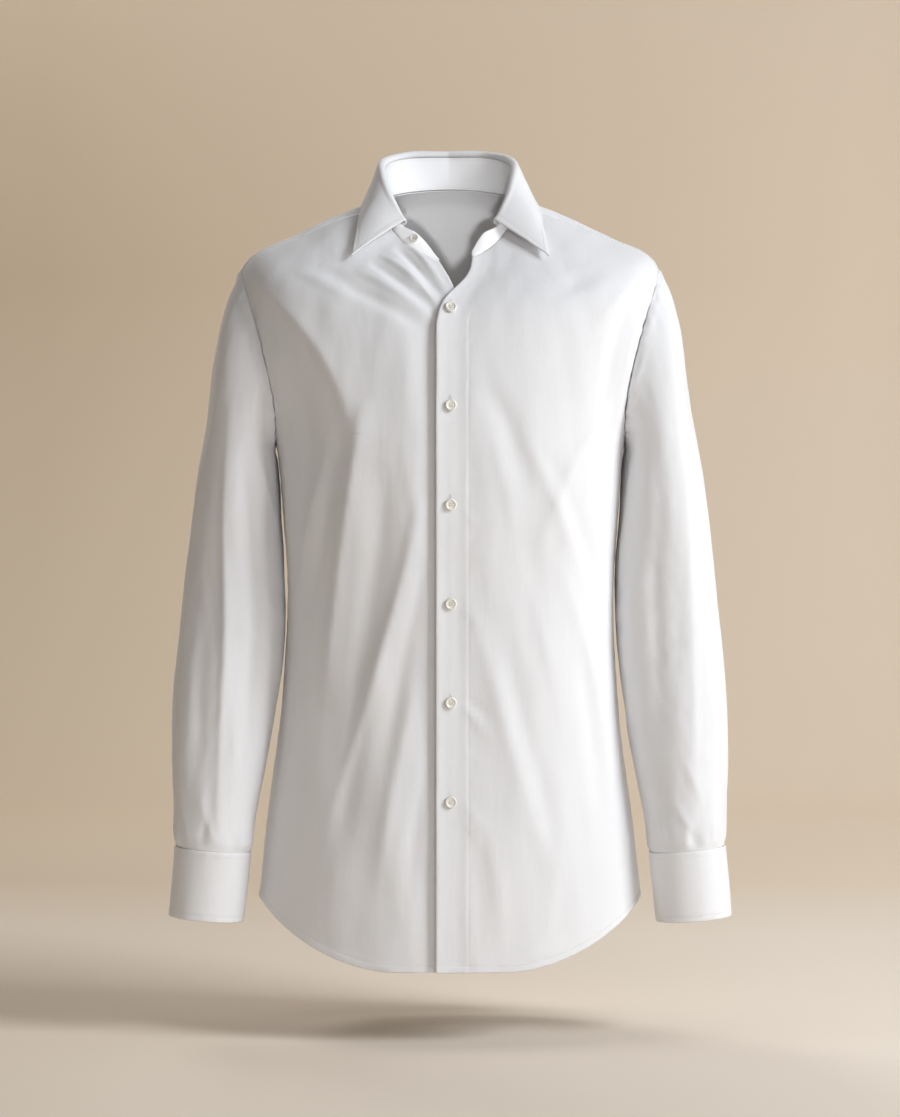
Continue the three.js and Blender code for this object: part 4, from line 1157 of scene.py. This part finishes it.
def sleeve_height(points, normals, row, name, creases):
    """The height of a sleeve's cloth: its creases, soft unevenness and the gathers above the cuff."""
    above_cuff = (SLEEVE_END - row) * ROW_LENGTH
    ripples = waves(points, SEEDS[name] + 3, GATHERS["length"], GATHERS["stretch"])
    gathered = bell(above_cuff - GATHERS["middle"], GATHERS["reach"])
    height = crease_heights(points, normals, creases) + unevenness(points, SEEDS[name], SLEEVE_UNEVEN)
    height += (GATHERS["rise"] + GATHERS["size"] * ripples) * gathered
    return height * smooth((row + 1) / 0.12) * mix(0.12, 1, smooth(above_cuff / 9))


def sleeve_piece(name):
    side = SIDES[name]
    t = lay_out(lambda place: sleeve(place, 3.0, side), -90, 270, 149)[:-1]
    grid = sleeve(t[None], SLEEVE_ROWS, side)
    normals = surface_normals(grid, grid - grid.mean(1, keepdims=True), True)
    creases = crease_paths(SLEEVE_CREASES[name], lambda a, b: sleeve(a, b, side))
    height = sleeve_height(grid, normals, SLEEVE_ROWS, name, creases)
    from_top = edge_distance(grid, "bottom")
    height += 1.6 * seam_groove(from_top) + puckers(grid, from_top, 51, 9.0, 0.7, 8.0)
    height += 1.1 * bell(from_top - 7, 6) - TUCK * smooth((SLEEVE_ROWS - SLEEVE_END + 0.01) / 0.07)
    made, _, _ = dressed(f"cloth_sleeve_{name}", grid, normals, height, CLOTH_WALL, SLEEVE_CLOTH, True)
    return made, creases


PLACKET_ROWS = np.array([0, 0.006, 0.014, 0.024, *np.linspace(0.04, 0.96, 44), 0.975, 0.988, 1])[:, None]
PLACKET_HALF = np.array([0, 0.3, 0.6, 0.74, 0.86, 0.94, 1])
PLACKET_STITCH = 1.6


def sleeve_placket(name, creases):
    side = SIDES[name]
    across = np.concatenate([-PLACKET_HALF[:0:-1], PLACKET_HALF])[None]
    point = 1 - np.clip(1 - PLACKET_ROWS / 0.085, 0, 1) ** 1.2 * 0.92
    row = mix(PLACKET["top"], PLACKET["bottom"], PLACKET_ROWS) + 0 * across
    grid = sleeve(CUFF_LAP["t"] + PLACKET["half_span"] * across * point, row, side)
    normals = surface_normals(grid, grid - sleeve(np.linspace(0, 360, 60), 7.0, side).mean(0))
    height = 1.0 + sleeve_height(grid, normals, row, name, creases)
    from_side = inner_distance(grid, ("start", "end"))
    height -= 0.35 * bell(from_side, 0.7) + 0.2 * bell(from_side - PLACKET_STITCH, 0.7)
    name = f"cloth_sleeve_placket_{name}"
    made, points, ups = dressed(name, grid, normals, height, PLACKET_WALL, SLEEVE_CLOTH)
    for edge in ("start", "end"):
        stitching.inset(points, ups, edge, PLACKET_STITCH)
    stitching.inset(points, ups, "bottom", 18.0, (0.1, 0.9))
    return made


CUFF_ROWS = 2 * np.array([0, 0.01, 0.022, 0.04, *np.linspace(0.06, 0.9, 22), 0.915, 0.93, 0.95, 0.97, 0.985, 1])
CUFF_LENGTH, CUFF_CORNER = 69, 9.0  # its length along the arm, and the radius of its rounded corner
CUFF_BUTTON_SHARE = 360 / CUFF_TURN + 0.02


def cuff_piece(name):
    side = SIDES[name]

    def place(row, share):
        return cuff(share, CUFF_ROWS[row], side)

    shares = spaced_shares(place, np.arange(len(CUFF_ROWS)), BAND_STEPS, BAND_STEPS, 96, 120)
    round_way = running_length(cuff(np.linspace(0, 1, 120), 1.0, side))[-1]
    drop = np.clip(CUFF_CORNER - CUFF_LENGTH * (1 - CUFF_ROWS / 2), 0, CUFF_CORNER)
    trimmed = 1 - (CUFF_CORNER - np.sqrt(CUFF_CORNER**2 - drop**2)) / round_way
    shares = shares * mix(1, trimmed[:, None], smooth((shares - 0.8) / 0.2))
    grid = cuff(shares, CUFF_ROWS[:, None], side)
    normals = surface_normals(grid, grid - grid[:, 10:-14].mean(1, keepdims=True))
    edges = ("start", "end", "bottom", "top")
    inset = inner_distance(grid, edges)
    height = 0.35 * waves(grid, 61 if side > 0 else 62, 34, (1, 1, 2.5))
    height += band_edge(inset, CUFF_STITCH) + puckers(grid, inset, 63, 7.0, 0.16, 9.0)
    made, points, ups = dressed(f"cloth_cuff_{name}", grid, normals, height, BAND_WALL, BAND_CLOTH)
    for edge in edges:
        trim = (0.05, 0.95) if edge in ("start", "end") else (0.02, 0.98)
        stitching.inset(points, ups, edge, CUFF_STITCH, trim)
    at = nearest_place(points, cuff(np.array(CUFF_BUTTON_SHARE), np.array(1.0), side))
    return made, points[at], ups[at]


sleeves, plackets, cuffs, cuff_buttons = {}, {}, {}, {}
for name in SIDES:
    sleeves[name], creases = sleeve_piece(name)
    plackets[name] = sleeve_placket(name, creases)
    cuffs[name], *cuff_buttons[name] = cuff_piece(name)

# ---------------------------------------------------------------- collar

STAND_SHARES = [0, 0.03, 0.07, 0.13, 0.2, 0.3, 0.4, 0.5, 0.6, 0.7, 0.78, 0.84, 0.9, 0.94, 0.975, 1]
STAND_END = {"length": 20, "drop": 0.55}  # how the stand's rounded ends come down
LEAF_FRONT_STEPS = np.array([0, 0.25, 0.55, 0.95, 1.5, 2.1, 2.7, 3.2, 3.8])
LEAF_FALLS = [*np.linspace(0.06, 0.86, 19), 0.885, 0.905, 0.925, 0.945, 0.965, 0.985, 1]


def collar_stand():
    first, last = edge_phi(RIGHT_EDGE, float(NECK)), edge_phi(LEFT_EDGE, float(NECK)) - 360
    phi = lay_out(lambda place: stand_outer(place, 0.5), first, last, 250)
    along = running_length(stand_outer(phi, 0.5))
    from_end = np.minimum(along, along[-1] - along)
    top = 1 - STAND_END["drop"] * np.clip(1 - from_end / STAND_END["length"], 0, 1) ** 2
    grid = stand_outer(phi[None], (np.array(STAND_SHARES)[:, None] * top)[..., None])
    normals = surface_normals(grid, stand_normal(phi)[None])
    height = 0.2 * waves(grid, 71, 30) - 0.4 * bell(edge_distance(grid, "top"), RIM_WIDTH)
    height += seam_groove(edge_distance(grid, "bottom"))
    made, points, ups = dressed("cloth_collar_stand", grid, normals, height, STAND_WALL, BAND_CLOTH)
    stitching.inset(points, ups, "bottom", YOKE_STITCH)
    for edge, inset in (("top", 2.0), ("bottom", YOKE_STITCH)):
        stitching.inset(points - ups * STAND_WALL, -ups, edge, inset, (0.02, 0.98))
    return made, points, ups


def collar_leaf():
    half = lay_out(lambda place: collar_place(LEAF_EDGE, place), LEAF_FRONT_PHI, 180, 150)
    near = LEAF_FRONT_PHI + LEAF_FRONT_STEPS
    phi = with_mirror(np.unique(np.concatenate([near, half[half > near[-1] + 0.5]])), 360)
    out = stand_normal(phi)
    up = unit(np.cross(out, stand_top(phi + 1) - stand_top(phi - 1)))
    start = stand_top(phi) + up * LEAF_ROLL["gap"]
    centre = start + up * LEAF_ROLL["rise"] + out * LEAF_ROLL["radius"]
    turns = np.linspace(180, 12, 13)
    roll = [centre + LEAF_ROLL["radius"] * (out * cos(turn) + up * sin(turn)) for turn in turns]
    edge, swell = collar_place(LEAF_EDGE, phi), collar_place(LEAF_EDGE, phi, "swell")
    fall = [mix(roll[-1], edge, share) + out * swell * math.sin(math.pi * share) for share in LEAF_FALLS]
    grid = np.array([start, *roll, *fall])
    normals = surface_normals(grid, out[None])
    inset = inner_distance(grid, ("top", "start", "end"))
    height = 0.3 * waves(grid, 72, 42) + band_edge(inset, COLLAR_STITCH)
    height += puckers(grid, inset, 73, 7.0, 0.12, 9.0)
    made, points, ups = dressed("cloth_collar_leaf", grid, normals, height, BAND_WALL, BAND_CLOTH)
    stitching.inset(points, ups, "top", COLLAR_STITCH, (0.02, 0.98))
    for side_edge in ("start", "end"):
        stitching.inset(points, ups, side_edge, COLLAR_STITCH, (0.4, 0.93))
    return made


stand_piece, stand_points, stand_ups = collar_stand()
leaf_piece = collar_leaf()

# ---------------------------------------------------------------- buttons and buttonholes

BUTTON_PROFILE = table(
    "radius height",
    """
    0.06 0
    4.1 0
    5.15 0.3
    5.6 0.8
    5.75 1.4
    5.65 1.95
    5.35 2.4
    4.95 2.7
    4.6 2.78
    4.25 2.72
    3.95 2.5
    3.65 2.25
    3.35 2.1
    """,
)
WELL_RADII, WELL_FLOOR = [*np.arange(3.1, 0.1, -0.2), 0.06], 2.02
BUTTON_SIDES = 56
BUTTON_LIFT = 0.6
HOLE_REACH, HOLE_RADIUS, HOLE_DEPTH = 1.1, 0.42, 1.4
BUTTONHOLE = {"length": 13.5, "pitch": 0.55, "offset": 0.95, "bar": 0.4}
CUFF_BUTTONHOLE_LENGTH = 14.0
COLLAR_BUTTON_SCALE, CUFF_BUTTON_SCALE = 0.8, 0.9
# Lengths, widths and heights of the threads round a buttonhole, and in and under a button.
SATIN, BAR, CROSS, SHANK = (1.5, 0.6, 0.42), (3.4, 1.0, 0.5), (2.9, 0.55, 0.4), (2.4, 1.6, 0.6)


def button_form():
    """A four-hole button about its own middle, facing +Z: points and faces."""
    radius = np.concatenate([BUTTON_PROFILE["radius"], WELL_RADII])[:, None]
    height = np.concatenate([BUTTON_PROFILE["height"], np.full(len(WELL_RADII), WELL_FLOOR)])[:, None]
    turn = np.linspace(0, 2 * math.pi, BUTTON_SIDES, endpoint=False)
    x, y, z = radius * np.cos(turn), radius * np.sin(turn), height + 0 * turn
    for sx, sy in ((1, 1), (1, -1), (-1, 1), (-1, -1)):
        away = np.hypot(x - sx * HOLE_REACH, y - sy * HOLE_REACH)
        z = z - np.where(height > 2, HOLE_DEPTH * (1 - smooth((away - HOLE_RADIUS) / 0.3)), 0)
    points = stack(x, y, z).reshape(-1, 3)
    number = np.arange(len(points)).reshape(len(radius), BUTTON_SIDES)
    nxt = np.roll(number, -1, 1)
    return points, stack(number[:-1], nxt[:-1], nxt[1:], number[1:]).reshape(-1, 4).astype(int)


def stand_up(normal):
    """Sideways and upward directions on a face whose normal is given."""
    sideways = unit(np.cross([0, 0, 1.0], normal))
    return sideways, np.cross(normal, sideways)


def place_buttons(places):
    points, faces = button_form()
    vertices, quads = [], []
    for number, (centre, normal, scale) in enumerate(places):
        sideways, upward = stand_up(normal)
        base = centre + normal * BUTTON_LIFT
        vertices.append(base + points * scale @ np.array([sideways, upward, normal]))
        quads.append(faces + number * len(points))
        for step in (-1, 1):
            middle = base + (step * HOLE_REACH * sideways + 2.15 * normal) * scale
            stitching.one(middle, upward, normal, CROSS[0] * scale, *CROSS[1:])
        stitching.one(centre + normal * 0.3, sideways, normal, *SHANK)
    return mesh_object("shell_buttons", np.concatenate(vertices), np.concatenate(quads), BUTTON_SHELL)


def buttonhole(centre, normal, along, length=BUTTONHOLE["length"]):
    """A slit, a dark sheet of painted shade, with satin stitches down both sides and a bar across each end."""
    across = np.cross(normal, along)
    for step in (-1, 1):
        for place in np.arange(-length / 2, length / 2 + 0.01, BUTTONHOLE["pitch"]):
            middle = centre + place * along + step * BUTTONHOLE["offset"] * across
            stitching.one(middle, across, normal, *SATIN)
        bar = centre + step * (length / 2 + BUTTONHOLE["bar"]) * along
        stitching.one(bar, across, normal, *BAR)
    # The slit itself: a thin dark sheet painted with the shade inside the cut.
    slit_shades.one(centre + normal * 0.02, along, normal, length, 0.5, 0.2)


def on_front(x, z):
    """The dressed left front at x and z, with its normal."""
    away = np.hypot(points_left[..., 0] - x, points_left[..., 2] - z)
    away += np.where(points_left[..., 1] > 0, 1e3, 0)
    at = np.unravel_index(away.argmin(), away.shape)
    point, normal = points_left[at], ups_left[at]
    step = np.array([x - point[0], 0, z - point[2]])
    return point + step - normal * (step @ normal), normal


button_places = []
for x, z in FRONT_BUTTONS:
    button_places.append((*on_front(x, z), 1.0))
    hole_point, hole_normal = on_front(x, z + 2.5)
    buttonhole(hole_point, hole_normal, stand_up(hole_normal)[1])
at = nearest_place(stand_points, stand_outer(np.array(-32.0), np.array(0.58)))
button_places.append((stand_points[at], stand_ups[at], COLLAR_BUTTON_SCALE))
for point, normal in cuff_buttons.values():
    button_places.append((point, normal, CUFF_BUTTON_SCALE))
    sideways, _ = stand_up(normal)
    buttonhole(point + sideways * 1.5, normal, sideways, CUFF_BUTTONHOLE_LENGTH)
buttons = place_buttons(button_places)
threads = stitching.make("stitching", THREAD)
# The buttonhole slits: one mesh of painted shade.
slit_shade_piece = slit_shades.make("buttonhole_slit_shades", SLIT_SHADE)

# ---------------------------------------------------------------- what stands for what

CLOTH_PIECES = {
    "front_left": front_left,
    "front_right": front_right,
    "back": back_piece,
    "yoke": yoke_piece,
    "collar_stand": stand_piece,
    "collar_leaf": leaf_piece,
    **{f"sleeve_{name}": piece for name, piece in sleeves.items()},
    **{f"sleeve_placket_{name}": piece for name, piece in plackets.items()},
    **{f"cuff_{name}": piece for name, piece in cuffs.items()},
}
for node, piece in CLOTH_PIECES.items():
    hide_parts(node)
front_button_nodes = (f"button_front_{k + 1}" for k in range(len(FRONT_BUTTONS)))
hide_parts("button_collar", "button_cuff_left", "button_cuff_right", *front_button_nodes)

# ---------------------------------------------------------------- floor, light and camera

FLOOR_Z = -822
SWEEP_START, SWEEP_RADIUS, SWEEP_TOP = 2600, 1100, 4000
FLOOR_FRONT, FLOOR_SIDE = -14000, 12000
# Painted light on the paper, darker at its left and lighter at its right: on the wall and on the floor near by;
# painted shade on the floor far in front.
WALL_PAINTED_LIGHT = (0.67, 0.55, 0.405), (1.0, 0.86, 0.69)
NEAR_PAINTED_LIGHT = (0.84, 0.725, 0.595), (0.99, 0.89, 0.77)
FAR_PAINTED_SHADE = (0.36, 0.32, 0.27)
CLOUDED_PAPER, SPECKLED_PAPER = (0.62, 0.53, 0.43), (0.72, 0.61, 0.49)


def studio_floor():
    look = Shading("pale studio paper")
    split = look.nodes.new("ShaderNodeSeparateXYZ")
    look.link(look.place, split.inputs["Vector"])
    # Painted light and shade: the paper's colour runs from dark to light, left to right, and is dark on the
    # floor far in front. From about a metre back, the floor takes the wall's colours.
    wall = look.blend(look.spread(split.outputs["X"], -0.9, 0.9), *WALL_PAINTED_LIGHT)
    near = look.blend(look.spread(split.outputs["X"], -0.45, 0.45), *NEAR_PAINTED_LIGHT)
    front_painted_shade = look.blend(look.spread(split.outputs["Y"], -2.8, -0.9), FAR_PAINTED_SHADE, near)
    paper = look.blend(look.spread(split.outputs["Y"], 0.75, 1.35), front_painted_shade, wall)
    clouds, grain = look.noise(1.3, detail=3.0), look.noise(700.0)
    tint = look.blend(look.spread(clouds, 0.3, 0.7, 0.0, 0.06), paper, CLOUDED_PAPER)
    look.colour(look.blend(look.spread(grain, 0.3, 0.7, 0.0, 0.12), tint, SPECKLED_PAPER))
    look.bump(grain, 0.0002, 0.3)
    look.set(Roughness=0.88, Specular_IOR_Level=0.2)
    turn = np.linspace(0, math.pi / 2, 40)
    y = [FLOOR_FRONT, -2000, *(SWEEP_START + SWEEP_RADIUS * np.sin(turn)), SWEEP_START + SWEEP_RADIUS]
    z = [FLOOR_Z, FLOOR_Z, *(FLOOR_Z + SWEEP_RADIUS * (1 - np.cos(turn))), SWEEP_TOP]
    across = np.linspace(-FLOOR_SIDE, FLOOR_SIDE, 13)
    vertices = stack(across, np.array(y)[:, None], np.array(z)[:, None]).reshape(-1, 3)
    number = np.arange(len(vertices)).reshape(len(y), -1)
    faces = stack(number[:-1, :-1], number[:-1, 1:], number[1:, 1:], number[1:, :-1]).reshape(-1, 4)
    plain_object("studio_floor", vertices, faces.astype(int), look.material)


def add_light(name, kind, power, location, rotation):
    data = bpy.data.lights.new(name, kind)
    data.energy = power
    light = bpy.data.objects.new(name, data)
    light.location = location
    light.rotation_euler = rotation
    bpy.context.scene.collection.objects.link(light)
    return light


LIGHT_AIM = (0, 0, -0.38)


def soft_light(name, azimuth, elevation, distance, size, power, colour):
    """A square light: azimuth 0 is in front and 90 at the right of the picture."""
    a, e = math.radians(azimuth), math.radians(elevation)
    way = np.array([math.sin(a) * math.cos(e), -math.cos(a) * math.cos(e), math.sin(e)])
    place = np.array(LIGHT_AIM) + way * distance
    light = add_light(name, "AREA", power, place, (math.pi / 2 - e, 0, a))
    light.data.size = size
    light.data.color = colour
    light.visible_camera = False


BEAM_FROM, BEAM_WAY = (0.04, -2.6, -0.55), (-0.04, 2.69, 0.53)


def neck_light():
    """A narrow soft beam from in front into the open neck, for its inside alone."""
    turn = Vector(BEAM_WAY).to_track_quat("-Z", "Y").to_euler()
    light = add_light("neck beam", "SPOT", 215, BEAM_FROM, turn)
    light.data.spot_size = math.radians(3.4)
    light.data.spot_blend = 0.6
    light.data.shadow_soft_size = 0.1
    inside = bpy.data.collections.new("inside of the neck")
    for piece in (yoke_piece, stand_piece, back_piece):
        inside.objects.link(piece)
    light.light_linking.receiver_collection = inside


studio_floor()
soft_light("key", 62, 28, 4.2, 1.8, 134, (0.95, 1.0, 1.06))
soft_light("fill", 14, 6, 4.2, 2.0, 30, (0.98, 0.99, 1.02))
soft_light("back", 205, 36, 4.0, 2.0, 46, (0.97, 0.99, 1.02))
neck_light()

scene = bpy.context.scene
world = bpy.data.worlds.new("studio")
world.use_nodes = True
surround = world.node_tree.nodes["Background"].inputs
surround["Color"].default_value = (1.0, 0.92, 0.84, 1)
surround["Strength"].default_value = 0.17
scene.world = world
scene.view_settings.view_transform = "Standard"
scene.view_settings.look = "None"

camera_data = bpy.data.cameras.new("camera")
camera_data.sensor_width = 36
camera_data.lens = 96.69
camera = bpy.data.objects.new("camera", camera_data)
camera.location = (0, -3.0, -0.3535)
camera.rotation_euler = (math.pi / 2, 0, 0)
scene.collection.objects.link(camera)
scene.camera = camera
